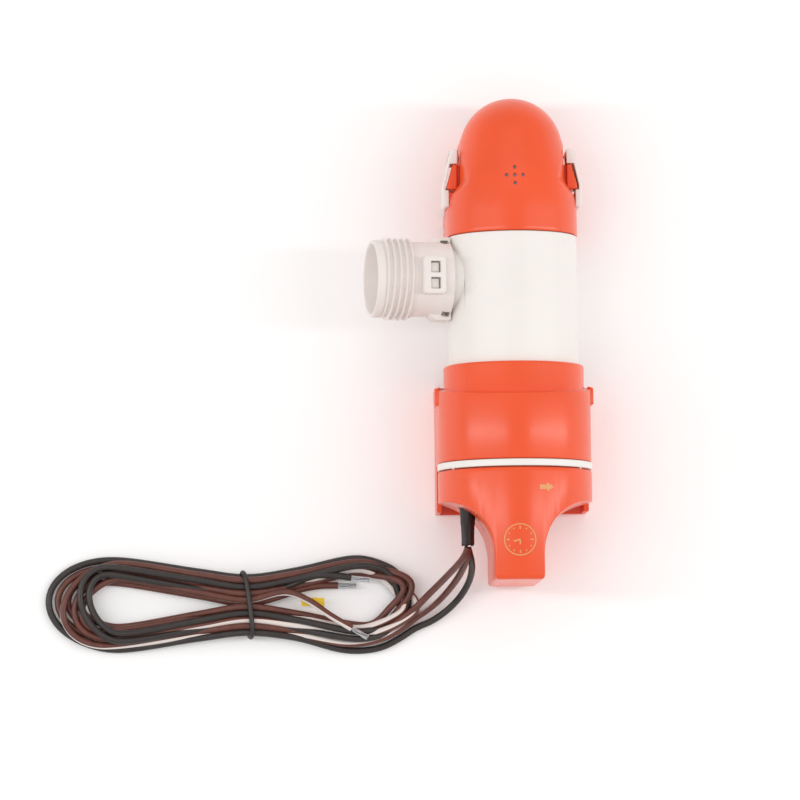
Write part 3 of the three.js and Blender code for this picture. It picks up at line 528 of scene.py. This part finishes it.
def spline(points, spacing):
    """A centripetal Catmull-Rom curve through the points, sampled evenly."""
    p = [np.array(q, float) for q in points]
    p = [2 * p[0] - p[1]] + p + [2 * p[-1] - p[-2]]
    samples = []
    for i in range(1, len(p) - 2):
        knots = [0.0]
        for a, b in zip(p[i - 1:i + 2], p[i:i + 3]):
            knots.append(knots[-1] + max(np.linalg.norm(b - a), 1e-6) ** 0.5)
        t0, t1, t2, t3 = knots
        for t in np.linspace(t1, t2, 24, endpoint=False):
            a1 = (t1 - t) / (t1 - t0) * p[i - 1] + (t - t0) / (t1 - t0) * p[i]
            a2 = (t2 - t) / (t2 - t1) * p[i] + (t - t1) / (t2 - t1) * p[i + 1]
            a3 = (t3 - t) / (t3 - t2) * p[i + 1] + (t - t2) / (t3 - t2) * p[i + 2]
            b1 = (t2 - t) / (t2 - t0) * a1 + (t - t0) / (t2 - t0) * a2
            b2 = (t3 - t) / (t3 - t1) * a2 + (t - t1) / (t3 - t1) * a3
            samples.append((t2 - t) / (t2 - t1) * b1 + (t - t1) / (t2 - t1) * b2)
    samples.append(p[-2])
    line = np.array(samples)
    along = np.concatenate([[0], np.cumsum(np.linalg.norm(np.diff(line, axis=0), axis=1))])
    count = int(along[-1] / spacing)
    even = np.linspace(0, along[-1], count + 1)
    return np.stack([np.interp(even, along, line[:, k]) for k in range(3)], axis=1)


def relaxed(line, passes):
    """Takes the kinks out of a sampled line, ends kept."""
    line = line.copy()
    for _ in range(passes):
        line[1:-1] = line[1:-1] * 0.5 + (line[:-2] + line[2:]) * 0.25
    return line


def sweep(name, line, radius, material, sides=14, start_side=(0, 0, 1)):
    """A tube along a line, with flat ends and a UV map that runs around it."""
    tangents = np.gradient(line, axis=0)
    tangents /= np.linalg.norm(tangents, axis=1)[:, None]
    side = np.array(start_side, float)
    side -= tangents[0] * side.dot(tangents[0])
    side /= np.linalg.norm(side)
    rings = []
    for place, tangent in zip(line, tangents):
        side = side - tangent * side.dot(tangent)
        side /= np.linalg.norm(side)
        other = np.cross(tangent, side)
        ring = [
            place + radius * (math.cos(a) * side + math.sin(a) * other)
            for a in (2 * math.pi * k / sides for k in range(sides))
        ]
        rings.append(ring)
    return loft_tube(name, rings, material)


def loft_tube(name, rings, material):
    """Rings joined to a tube, whose U coordinate runs around it and turns slowly along it."""
    count = len(rings[0])
    mesh = bpy.data.meshes.new(name)
    points = [tuple(np.array(p) * MM) for ring in rings for p in ring]
    faces = grid_faces(len(rings), count, False, True)
    last = (len(rings) - 1) * count
    faces += [tuple(range(count - 1, -1, -1)), tuple(range(last, last + count))]
    mesh.from_pydata(points, [], faces)
    layer = mesh.uv_layers.new(name="around")
    for index, polygon in enumerate(mesh.polygons):
        for loop_index in polygon.loop_indices:
            vertex = mesh.loops[loop_index].vertex_index
            u = (vertex % count) / count
            if len(polygon.vertices) == 4 and u == 0 and index % count == count - 1:
                u = 1.0
            v = (vertex // count) / len(rings)
            layer.data[loop_index].uv = (u + TWIST * v, v)
    obj = bpy.data.objects.new(name, mesh)
    bpy.context.scene.collection.objects.link(obj)
    mesh.shade_smooth()
    mesh.set_sharp_from_angle(angle=math.radians(50))
    dress(obj, material)
    return obj


# Each lead's way from the shrink sleeve down to the floor, as its CAD tube has it.
BOOT_TO_HANK = {
    "wire_brown": [
        (-22, -46.8, 41.6), (-22.8, -49.6, 40.8), (-25.4, -53.2, 36.8), (-29.4, -57.4, 28.4),
        (-33.6, -61.6, 19.6), (-38, -65.8, 12.6), (-41.4, -69.2, 8.8), (-44.2, -72, 7.4),
        (-50, -76.6, 7.0), (-60, -82.4, 5.0), (-74, -85.9, 3.0),
    ],
    "wire_striped": [
        (-21.7, -46.8, 37.9), (-21.8, -49.8, 36.6), (-22.8, -53.6, 31.4), (-25.4, -59, 22.4),
        (-29.6, -64.6, 13.6), (-34.4, -69.6, 7.6), (-39.8, -73.8, 4.6), (-44.3, -76.6, 3.8),
        (-51, -81.6, 4.2), (-61, -86.6, 4.6), (-75, -88.6, 4.6),
    ],
    "wire_black": [
        (-21.4, -46.8, 34.2), (-20.6, -49.6, 32.4), (-19.4, -53.6, 26.4), (-20, -60, 17),
        (-24, -67.4, 8.6), (-30.6, -74, 3.6), (-38, -78.8, 2.1), (-44.2, -81.2, 2.1),
        (-51, -85.6, 1.8), (-61, -90.4, 1.7), (-76, -91.4, 1.7),
    ],
}
TAILS = {
    "wire_black": [(-104, -62.4, 5.2), (-92, -57.2, 7.2), (-82, -57.2, 7.4), (-74, -58.2, 7.2)],
    "wire_striped": [(-104, -64.6, 8.6), (-94, -68.5, 9.6), (-84, -75.5, 9.6), (-74, -81.6, 9.2)],
    "wire_brown": [(-106, -66.2, 3.6), (-98, -63.4, 3.2), (-88, -61.6, 3.0), (-80, -61.6, 3.0)],
}
ORDER = {"wire_black": 0, "wire_striped": 1, "wire_brown": 2}


def bare_strands(name, line, radius, count=7):
    """Twisted copper strands that stand out of a lead's cut end."""
    end = line[-1]
    way = line[-1] - line[-4]
    way /= np.linalg.norm(way)
    across = np.cross(way, (0, 0, 1.0))
    across /= np.linalg.norm(across)
    up = np.cross(across, way)
    strands = []
    for k in range(count):
        angle = 2 * math.pi * k / count
        spread_out = 0.0 if k == 0 else radius * 0.5
        path = []
        for step in range(9):
            t = step / 8
            turn_angle = angle + t * 2.4
            offset = spread_out * (1 + 0.25 * t)
            path.append(
                end - way * 0.6 + way * t * 9.0
                + (across * math.cos(turn_angle) + up * math.sin(turn_angle)) * offset
            )
        strands.append(sweep(f"{name}_{k}", np.array(path), 0.3, "steel", 8))
    return merged(*strands)


def make_leads():
    made = {}
    for name, order in ORDER.items():
        route = hank_route(order, BOOT_TO_HANK[name], TAILS[name])
        line = relaxed(spline(route, 1.4), 5)
        line[:, 2] = np.maximum(line[:, 2], WIRE / 2)
        colour = name.split("_")[1]
        lead = sweep("lead_" + colour, line, WIRE / 2, name, 16)
        strands = bare_strands("strands_" + colour, line, WIRE / 2)
        finish_piece(strands, "strands_" + colour, ROOT, slot="steel")
        made[name] = (lead, line, strands)
    return made


LEADS = make_leads()


def declare_leads():
    for name, (lead, line, strands) in LEADS.items():
        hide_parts(name, "wire_hank")
        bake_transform(lead)


def make_tie():
    """A thin black wire twisted once round the hank."""
    half_y, low, high = 14.9, 1.5, 9.4
    points = []
    for k in range(49):
        a = 2 * math.pi * k / 48
        y = TIE[1] + half_y * math.copysign(abs(math.cos(a)) ** 0.45, math.cos(a))
        z = (low + high) / 2 + (high - low) / 2 * math.copysign(abs(math.sin(a)) ** 0.6, math.sin(a))
        x = TIE[0] - (y - TIE[1]) * 0.12 + 1.3 * math.sin(a)
        points.append((x, y, max(z, 1.2)))
    line = relaxed(spline(points, 1.0), 3)
    tie = sweep("tie", line, 1.15, "wire_black", 12, (1, 0, 0))
    return finish_piece(tie, "tie_loop", ROOT, "hank_tie", slot="wire_black")


def make_tag():
    """A slightly curled flag of yellow tape, lying in the hank's right loops."""
    across, along = 11, 5
    points, faces = [], []
    for i in range(across + 1):
        for j in range(along + 1):
            u, v = i / across, j / along
            lift = 0.5 * math.sin(u * 2.6) + 0.35 * v
            points.append((-97 + 10.6 * u, -71.0 + 4.0 * v - 0.4 * u, 5.6 + lift))
    faces = grid_faces(across + 1, along + 1)
    flag = mesh_object("flag", points, faces, "tag_yellow")
    thick = flag.modifiers.new("thickness", "SOLIDIFY")
    thick.thickness = 0.35 * MM
    thick.offset = 0
    apply_modifiers(flag)
    soften(flag, 0.1, 60, 2)
    smooth(flag, 50)
    return finish_piece(flag, "tape_flag", ROOT, "wire_tag", slot="tag_yellow")


EXTRAS = {"wire_brown": [make_tie(), make_tag()], "wire_striped": [], "wire_black": []}
declare_leads()

# ---------------------------------------------------------------- bracket

HALF = 34.8


def arch_outline(radius, floor=0.0, steps=72):
    """Upright sides from the floor to the axis and a half circle above them."""
    arc = [
        (radius * math.cos(math.pi * k / steps), AXIS + radius * math.sin(math.pi * k / steps))
        for k in range(steps + 1)
    ]
    return [(-radius, floor), (radius, floor)] + arc


def corner_hollow(side):
    ring, inside, rib = 33.5, HALF - 2.2, 12.0
    start, end = math.acos(inside / ring), math.acos(rib / ring)
    arc = [
        (side * ring * math.cos(start + (end - start) * k / 16),
         AXIS - ring * math.sin(start + (end - start) * k / 16))
        for k in range(17)
    ]
    outline = filleted([(side * inside, 2.0)] + arc + [(side * rib, 2.0)], 1.5)
    return prism("hollow", outline, -10, 31, "Y", "orange_plastic")


def make_bracket():
    """Arch with a leaning front face, front sleeve, base plate and side walls."""
    body = prism("arch", arch_outline(HALF), -8.5, 29.5, "Y", "orange_plastic")
    lean = (29.5 - 20.9) / (AXIS + HALF)
    front = [(29.5, -1), (36, -1), (36, 90), (29.5 - 90 * lean, 90)]
    cut(body, prism("front", front, -50, 50, "X", "orange_plastic"))
    rear = [
        block(-HALF, HALF, -29.5, -8.0, 0, 2),
        block(-HALF, -HALF + 2.2, -29.5, -3.0, 0, 20),
        block(HALF - 2.2, HALF, -29.5, -3.0, 0, 20),
    ]
    join(body, *rear)
    for side in (-1, 1):
        lug = filleted([(side * 33.5, 18), (side * 36.2, 18), (side * 36.2, 25.6), (side * 33.5, 26.4)], 0.8)
        join(body, prism("lug", lug, 26.4, 39.5, "Z", "orange_plastic"))
    sleeve = turned(
        "sleeve",
        filleted([(28.5, 12), (31.9, 12), (31.9, 35.6), (28.5, 35.6)], 1.3, steps=5),
        "orange_plastic",
        144,
    )
    join(body, move(sleeve, z=AXIS))
    cut(
        body,
        move(rod(29.7, -12, 40, 144, "orange_plastic"), z=AXIS),
        move(rod(31.6, -12, 4.6, 144, "orange_plastic"), z=AXIS),
        corner_hollow(-1),
        corner_hollow(1),
    )
    for x, y, top in ((-22, -19, 2), (22, -19, 2), (-7, 14, 8.6), (7, 14, 8.6)):
        sink = [(1e-3, -9), (2.5, -9), (2.5, top - 1.4), (5, top + 1.1), (5, 8 + top), (1e-3, 8 + top)]
        hole = turned("hole", sink, "orange_plastic", 40)
        cut(body, move(turn(hole, math.pi / 2, "X"), x, y, 0))
    soften(body, 0.5, 35, 3, lambda x, y, z: -10.6 < y < -7.6 and abs(x) > 30 and z < 31)
    smooth(body)
    return finish_piece(body, "bracket_body", ROOT, "bracket", slot="orange_plastic")


bracket = make_bracket()

# ---------------------------------------------------------------- strainer

NOSE_Y, NOSE_HALF, NOSE_TIP = 134.9, 23.4, 158.5
VENTS_Y, VENT_STEP, VENT_RADIUS = 119.9, 3.7, 0.85


def strainer_stations(inset, rear):
    """(half width, y) along the strainer: straight, flared, then an elliptic nose."""
    stations = [(29.7, y) for y in np.linspace(rear, 104, 6)]
    p = [(29.7, 106), (29.7, 117.83), (25.89, 129.67), (22.47, 141.5)]
    for k in range(15):
        t = k / 14
        w = ((1 - t) ** 3, 3 * t * (1 - t) ** 2, 3 * t * t * (1 - t), t ** 3)
        stations.append(tuple(sum(w[i] * p[i][j] for i in range(4)) for j in (0, 1)))
    long_half = NOSE_TIP - NOSE_Y
    start = math.asin((141.5 - NOSE_Y) / long_half)
    for k in range(1, 25):
        angle = start + (math.pi / 2 - start) * k / 24
        stations.append((NOSE_HALF * math.cos(angle), NOSE_Y + long_half * math.sin(angle)))
    result = []
    for i, (r, y) in enumerate(stations):
        r0, y0 = stations[max(i - 1, 0)]
        r1, y1 = stations[min(i + 1, len(stations) - 1)]
        way = Vector((r1 - r0, y1 - y0)).normalized()
        if i == len(stations) - 1:
            way = Vector((-1, 0))
        result.append((max(r - inset * way.y, 0.02), y + inset * way.x))
    return result


def strainer_solid(inset, rear, bottom):
    rings = []
    for r, y in strainer_stations(inset, rear):
        half = [(r, bottom)] + [(r, bottom + (AXIS - bottom) * k / 8) for k in range(1, 8)]
        arc = [
            (r * math.cos(math.pi * k / 64), AXIS + r * math.sin(math.pi * k / 64))
            for k in range(65)
        ]
        left = [(-x, z) for x, z in reversed(half)]
        rings.append([(x, y, z) for x, z in half + arc + left])
    return loft("dome", rings, "orange_plastic")


def side_pocket():
    """The scoop that leaves room for a clip, with a slanted rim above and below it."""
    wall = [
        (42, 142.4), (25.2, 140.6), (23.7, 137.6), (23.3, 134), (23.3, 121), (24.0, 118.2),
        (26.2, 115.2), (28.2, 112.2), (29.0, 108.2), (42, 105.4),
    ]
    wall = filleted(wall, 2.2)
    rings = []
    for height, inward in ((-19, 2.6), (-11.5, 0), (11.0, 0), (14.0, 1.1), (19.5, 3.1), (26, 5.4)):
        ring = []
        for x, y in wall:
            away = 1 if y > 128 else -1
            ring.append((x - inward, y + away * inward * 0.25, AXIS + height))
        rings.append(ring)
    return loft("pocket", rings, "orange_plastic")


def pocket_backing():
    plan = [(45, 144), (21.4, 142), (20.9, 134), (20.9, 118.4), (25.9, 112), (26.9, 100), (45, 100)]
    return prism("backing", filleted(plan, 1.5), AXIS - 21, AXIS + 22, "Z", "orange_plastic")


def clip_ear():
    plan = [(22, 116.3), (29.8, 116.3), (29.8, 118), (28.6, 122), (27.1, 127.6), (22, 127.6)]
    ear = prism("ear", plan, AXIS - 6.5, AXIS + 6.5, "Z", "orange_plastic")
    cut(ear, block(24.3, 40, 119, 125, AXIS - 2.5, AXIS + 2.5))
    cut(ear, block(23.7, 25.1, 110, 130, AXIS + 3.5, AXIS + 8))
    soften(ear, 0.35)
    return ear


def intake_slots():
    slots = [block(-40, 40, y, y + 3, -2, 9) for y in range(101, 134, 8)]
    for degrees in (-45, 0, 45):
        slot = block(-1.5, 1.5, 5, 35, -2, 9)
        slots.append(move(turn(slot, math.radians(degrees), "Z"), y=NOSE_Y))
    return slots


def make_strainer():
    shell = strainer_solid(0, 94.9, 0)
    inside = strainer_solid(2, 97.3, -3)
    backing = pocket_backing()
    cut(inside, mirror_copy(backing), backing)
    cut(shell, inside, move(rod(26.7, 90, 114.2, 128), z=AXIS))
    pocket = side_pocket()
    cut(shell, mirror_copy(pocket), pocket, *intake_slots())
    for i, j in ((0, 0), (1, 0), (-1, 0), (0, 1), (0, -1)):
        vent = turn(rod(VENT_RADIUS, 10, 40, 24), math.pi / 2, "X")
        cut(shell, move(vent, i * VENT_STEP, VENTS_Y + j * VENT_STEP, AXIS))
    soften(shell, 0.3, 40, 2, lambda x, y, z: math.hypot(x, y - VENTS_Y) < 5.2 and z > 50)
    ear = clip_ear()
    strainer = merged(shell, mirror_copy(ear), ear)
    smooth(strainer)
    return finish_piece(strainer, "strainer_dome", ROOT, "strainer", slot="orange_plastic")


strainer = make_strainer()

# ---------------------------------------------------------------- clips


def clip_outer(y):
    return 31.7 - max(y - 118, 0) * 0.2216


def make_clip():
    """A thumb plate with a solid block at each end: thumb pad in front, claw behind."""
    plan = [
        (clip_outer(134.7) - 0.6, 134.7), (clip_outer(134.1), 134.1), (31.7, 118), (31.7, 109.2),
        (30.8, 108.2), (25.3, 108.2), (25.3, 109.8), (26, 110.7), (28.9, 110.7), (28.9, 115.9),
        (clip_outer(115.9) - 1.2, 115.9), (clip_outer(118) - 1.2, 118), (clip_outer(128) - 1.2, 128),
        (25, 128), (24.8, 134), (25.3, 134.7),
    ]
    clip = prism("clip", plan, AXIS - 7, AXIS + 7, "Z", "white_plastic")
    for side in (-1, 1):
        near, far = sorted((AXIS + side * 4.2, AXIS + side * 10))
        cut(clip, block(20, 28.8, 107, 111, near, far))
    for k in range(4):
        ridge_y = 129.4 + k * 1.3
        rib = prism(
            "rib",
            [(clip_outer(ridge_y) - 0.3, ridge_y), (clip_outer(ridge_y) + 0.25, ridge_y + 0.3),
             (clip_outer(ridge_y) - 0.3, ridge_y + 0.6)],
            AXIS - 5, AXIS + 5, "Z", "white_plastic",
        )
        join(clip, rib)
    soften(clip, 0.3, 40, 2)
    return smooth(clip)


clip_right = make_clip()
clip_left = mirror_copy(clip_right)
finish_piece(clip_right, "side_clip_right", "right_clip", "clip_right", slot="white_plastic")
finish_piece(clip_left, "side_clip_left", "left_clip", "clip_left", slot="white_plastic")

# ---------------------------------------------------------------- casing and outlet


def along_outlet(obj):
    """Turned geometry about the outlet's axis: its +Y becomes -X."""
    return move(turn(obj, math.pi / 2, "Z"), y=OUTLET_Y)


def make_casing():
    profile = [
        (26.5, 2.0), (30.9, 2.0), (30.9, 4.2), (29.4, 4.2), (29.4, 30), (29.4, 58),
        (29.4, 92), (29.4, 94.6), (24.8, 94.6), (24.8, 110.9),
        (26.2, 111.3), (26.2, 113), (25.4, 113.6), (22.6, 113.6), (22.6, 90.5), (18.4, 90.5),
        (18.4, 88), (26.5, 88),
    ]
    shell = turned("casing_shell", filleted(profile, 0.5), "white_plastic", 160)
    stub = along_outlet(rod(14.3, 20, 43, 96))
    cut(stub, rod(26.5, 40, 88, 96))
    join(shell, stub)
    for v in (-3.66, 3.66):
        for low, high in ((12, 18.2), (-18.2, -12)):
            hook = block(-42, -38.2, OUTLET_Y + v - 2.2, OUTLET_Y + v + 2.2, low, high)
            join(shell, hook)
    bore = turned("bore", [(1e-3, 15), (11.2, 15), (11.2, 40.8), (9.5, 41), (9.5, 50), (1e-3, 50)],
                  "white_plastic", 96)
    cut(shell, along_outlet(bore))
    soften(shell, 0.3, 50, 2)
    smooth(shell)
    casing_place(shell)
    return finish_piece(shell, "casing_shell", SWIVEL, "casing", slot="white_plastic")


THREAD = dict(root=17.15, crest=18.8, pitch=2.8, start=47.7, end=61.9)


def thread_radius(u, angle):
    """A right-hand rounded thread that fades in and out at its ends."""
    phase = ((u - THREAD["start"]) / THREAD["pitch"] - angle / (2 * math.pi)) % 1.0
    ridge = max(0.0, math.cos(2 * math.pi * (phase - 0.5))) ** 0.7 if abs(phase - 0.5) < 0.25 else 0.0
    fade_in = min(max((u - THREAD["start"]) / 1.2, 0), 1)
    fade_out = min(max((THREAD["end"] - u) / 1.2, 0), 1)
    return THREAD["root"] + (THREAD["crest"] - THREAD["root"]) * ridge * fade_in * fade_out


def fitting_radius(u, angle):
    if u > 62.3:
        return 17.6 - 0.35 * max(0, u - 65.2)
    if u > THREAD["start"] - 0.2:
        return thread_radius(u, angle)
    if u > 38:
        return 17.0
    return 17.0 + 0.45 * min(1.0, (38 - u) / 5)


def make_fitting():
    """The threaded outlet with its latch collars and side lugs."""
    stations = sorted(
        set(np.round(np.concatenate([
            np.linspace(30.5, 47.4, 30), np.linspace(47.4, 62.2, 107), np.linspace(62.35, 65.9, 9),
        ]), 4))
    )
    segments = 128
    points = []
    for u in stations:
        for k in range(segments):
            angle = 2 * math.pi * k / segments
            r = fitting_radius(u, angle)
            points.append((r * math.cos(angle), u, r * math.sin(angle)))
    inner = [(16.1, 65.9), (15.75, 65.3), (15.8, 51), (15.0, 50), (15.0, 30.5)]
    for r, u in inner:
        for k in range(segments):
            angle = 2 * math.pi * k / segments
            points.append((r * math.cos(angle), u, r * math.sin(angle)))
    faces = grid_faces(len(stations) + len(inner), segments, True, True)
    fitting = mesh_object("fitting", points, faces, "port_plastic")
    along_outlet(fitting)
    collar = filleted(
        [(-45.6, -8.45), (-35.4, -8.45), (-35.4, 8.45), (-45.6, 8.45)], 2.0, steps=6
    )
    collars = []
    for low, high in ((12.5, 20.5), (-20.5, -12.5)):
        collars.append(move(prism("collar", collar, low, high, "Z", "port_plastic"), y=OUTLET_Y))
    for side in (-1, 1):
        lug = [(-29.8, side * 13), (-29.8, side * 19), (-36.9, side * 19), (-40.5, side * 16.5),
               (-40.5, side * 13)]
        collars.append(move(prism("lug", filleted(lug, 1.2), -5, 5, "Z", "port_plastic"), y=OUTLET_Y))
    for collar_piece in collars:
        soften(collar_piece, 0.45, 30, 2)
    join(fitting, *collars)
    cut(fitting, along_outlet(rod(15.0, 20, 50, 128)))
    for v in (-3.66, 3.66):
        window = filleted([(-42.4, v - 2.6), (-37.8, v - 2.6), (-37.8, v + 2.6), (-42.4, v + 2.6)], 0.5)
        for low, high in ((10, 25), (-25, -10)):
            cut(fitting, move(prism("window", window, low, high, "Z", "port_plastic"), y=OUTLET_Y))
    for y0, y1 in ((12, 17.3), (-17.3, -12)):
        cut(fitting, block(-34.6, -30.9, OUTLET_Y + y0, OUTLET_Y + y1, -8, 8))
    smooth(fitting, 40)
    casing_place(fitting)
    return finish_piece(fitting, "outlet_thread", SWIVEL, "outlet_fitting", slot="port_plastic")


casing = make_casing()
fitting = make_fitting()

# ---------------------------------------------------------------- cartridge


def make_housing():
    profile = [
        (23.6, -17), (30.1, -17), (30.1, -15.4), (28.3, -15.4), (28.3, -13.6), (30.1, -13.6),
        (30.1, -11.9), (35.2, -11.9), (35.2, -8.8), (26.1, -8.8), (26.1, 47.5), (23.7, 47.5),
        (23.7, 50.3), (26.1, 50.3), (26.1, 61), (6.6, 61), (6.6, 57.4), (3, 57.4), (3, 55.6),
        (21.4, 55.6), (21.4, 45.5), (23.6, 44),
    ]
    shell = turned("housing", filleted(profile, 0.5, steps=3), "white_plastic", 160)
    move(smooth(shell), z=AXIS)
    return finish_piece(shell, "motor_housing", CARTRIDGE, "cartridge_housing", slot="white_plastic")


GRIP_END, SKIRT_END, HANDLE_FRONT = -62.9, -26.2, -12.2
HANDLE_RADIUS = 35.0


def handle_plan():
    """Right half of the handle in plan, swept in from the skirt to the grip bar."""
    p = [(30.5, -27.0), (19.5, -29.6), (11.3, -37.5), (11.1, -51.4)]
    sweep_in = []
    for k in range(25):
        t = k / 24
        w = ((1 - t) ** 3, 3 * t * (1 - t) ** 2, 3 * t * t * (1 - t), t ** 3)
        sweep_in.append(tuple(sum(w[i] * p[i][j] for i in range(4)) for j in (0, 1)))
    right = [(37, HANDLE_FRONT), (37, -25.4), (36.4, SKIRT_END)] + sweep_in
    right += [(11.1, -60.9), (10.9, -61.9), (10.3, -62.6), (9.4, GRIP_END)]
    return right + [(-x, y) for x, y in reversed(right)]


def make_handle():
    skirt = prism("handle", handle_plan(), -37, 37, "Z", "orange_plastic")
    round_profile = [(1e-3, GRIP_END), (33.4, GRIP_END), (34.6, -61.9), (34.9, -60.6), (HANDLE_RADIUS, -14.4),
                     (34.8, -12.8), (34.2, HANDLE_FRONT), (1e-3, HANDLE_FRONT)]
    drum = turned("drum", round_profile, "orange_plastic", 144)
    combine(skirt, "INTERSECT", drum)
    cut(skirt, rod(30.5, -22.6, -10, 120), block(-8, 8, GRIP_END + 3, -20, -29, 29))
    hole = rod(4.1, -40, -20, 48)
    hole.data.transform(Matrix.Diagonal((1, 1, 1.85, 1)))
    cut(skirt, move(hole, x=-21.7))
    soften(skirt, 0.5, 35, 3)
    smooth(skirt)
    move(skirt, z=AXIS)
    return finish_piece(skirt, "twist_handle", CARTRIDGE, "lock_handle", slot="orange_plastic")


def make_boot():
    """Shrink sleeve gripping three leads: tall and narrow, stepped in where it has shrunk most."""
    rings = []
    for y, half, stretch in (
        (-24.0, 3.5, 1.85), (-29, 3.55, 1.85), (-33, 3.4, 1.84), (-36.2, 3.25, 1.84), (-37.0, 2.95, 1.86),
        (-39.5, 2.85, 1.9), (-42.5, 2.75, 1.95), (-44.6, 2.8, 1.95), (-45.5, 2.75, 1.95), (-45.6, 2.1, 2.1),
        (-44.4, 1.9, 2.1),
    ):
        ring = []
        for k in range(48):
            a = 2 * math.pi * k / 48
            lobes = 1 + (0.05 * math.cos(6 * a) if y < -36.5 else 0.0)
            ragged = 0.35 * math.sin(5 * a + 1) if -45.7 < y < -44.5 else 0.0
            ring.append((-21.7 + half * lobes * math.cos(a), y + ragged,
                         AXIS + half * stretch * lobes * math.sin(a)))
        rings.append(ring)
    boot = smooth(loft("boot", rings, "black_rubber"), 40)
    return finish_piece(boot, "shrink_sleeve", CARTRIDGE, "cable_boot", slot="black_rubber")


housing = make_housing()
handle = make_handle()
boot = make_boot()

# ---------------------------------------------------------------- pictograms on the handle


def on_handle(points_2d, lift=0.045):
    radius = HANDLE_RADIUS + lift
    return [(x, y, AXIS + math.sqrt(radius ** 2 - x * x)) for x, y in points_2d]


def inked(name, strips):
    """Thin printed shapes that follow the handle's curve. A strip is two equal rows of points."""
    points, faces = [], []
    for first, second in strips:
        base, count = len(points), len(first)
        points += on_handle(first) + on_handle(second)
        faces += [(base + i, base + i + 1, base + count + i + 1, base + count + i) for i in range(count - 1)]
    obj = mesh_object(name, points, faces, "ink")
    obj.data.shade_smooth()
    return finish_piece(obj, name, CARTRIDGE)


def line_strip(start, end, width, steps=6):
    a, b = Vector(start), Vector(end)
    side = Vector((-(b - a).y, (b - a).x)).normalized() * width / 2
    rows = [a.lerp(b, k / steps) for k in range(steps + 1)]
    return [tuple(p + side) for p in rows], [tuple(p - side) for p in rows]


def ring_strip(centre, radius, width, start=0.0, end=360.0, steps=72):
    rows = ([], [])
    for k in range(steps + 1):
        a = math.radians(start + (end - start) * k / steps)
        for row, r in zip(rows, (radius - width / 2, radius + width / 2)):
            row.append((centre[0] + r * math.cos(a), centre[1] + r * math.sin(a)))
    return rows


def dial_picture():
    centre = (0.0, -45.1)
    strips = [ring_strip(centre, 7.0, 0.5)]
    for hour in range(12):
        a = math.radians(hour * 30)
        way = Vector((math.sin(a), math.cos(a)))
        if hour % 3 == 0:
            strips.append(line_strip(Vector(centre) + way * 4.7, Vector(centre) + way * 6.1, 0.6, 3))
        else:
            strips.append(ring_strip(Vector(centre) + way * 5.6, 0.18, 0.36, steps=12))
    strips.append(line_strip(centre, (centre[0] - 2.9, centre[1] - 0.8), 0.7))
    strips.append(line_strip(centre, (centre[0], centre[1] - 2.2), 0.7))
    return inked("dial_picture", strips)


def arrow_picture():
    y, tail, neck_x, tip = -21.5, 9.2, 12.4, 15.5
    half = shaft_width = 2.1
    shaft = line_strip((tail, y), (neck_x + 0.1, y), shaft_width)
    head = ([(neck_x, y + half), (tip, y + 0.05)], [(neck_x, y - half), (tip, y - 0.05)])
    return inked("arrow_picture", [shaft, head])


dial_picture()
arrow_picture()

# ---------------------------------------------------------------- light and floor


def area_light(name, place, target, size, energy):
    data = bpy.data.lights.new(name, "AREA")
    data.shape = "RECTANGLE"
    data.size, data.size_y = size
    data.energy = energy
    light = bpy.data.objects.new(name, data)
    bpy.context.scene.collection.objects.link(light)
    way = Vector(target) - Vector(place)
    light.matrix_world = Matrix.Translation(place) @ way.to_track_quat("-Z", "Y").to_matrix().to_4x4()


def make_light():
    """Two long narrow boxes beside the pump for its highlight bands, one above, and a pale surround."""
    target, strip = (0, 0.03, 0.03), (0.12, 1.7)
    area_light("left_box", (-1.0, 0.05, 1.05), target, strip, 5.4)
    area_light("right_box", (1.12, 0.05, 0.95), target, strip, 5.8)
    area_light("top_box", (0.0, 1.0, 1.5), target, (1.4, 0.6), 1.1)
    world = bpy.data.worlds.new("studio")
    world.use_nodes = True
    background = world.node_tree.nodes["Background"]
    background.inputs["Color"].default_value = (1, 0.99, 0.98, 1)
    background.inputs["Strength"].default_value = 0.72
    bpy.context.scene.world = world
    bpy.context.scene.view_settings.view_transform = "Standard"


def make_floor():
    size = 3000.0
    floor = mesh_object(
        "floor", [(-size, -size, -0.3), (size, -size, -0.3), (size, size, -0.3), (-size, size, -0.3)],
        [(0, 1, 2, 3)], "white_plastic",
    )
    material, tree, shader = new_material("floor")
    tint = ramp(tree, noise(tree, 3), (0.93, 0.93, 0.93, 1), (0.96, 0.96, 0.96, 1))
    tree.links.new(tint, shader.inputs["Base Color"])
    shader.inputs["Roughness"].default_value = 0.8
    shader.inputs["Emission Color"].default_value = (1, 1, 1, 1)
    shader.inputs["Emission Strength"].default_value = 0.1
    floor.data.materials.clear()
    floor.data.materials.append(material)


make_light()
make_floor()
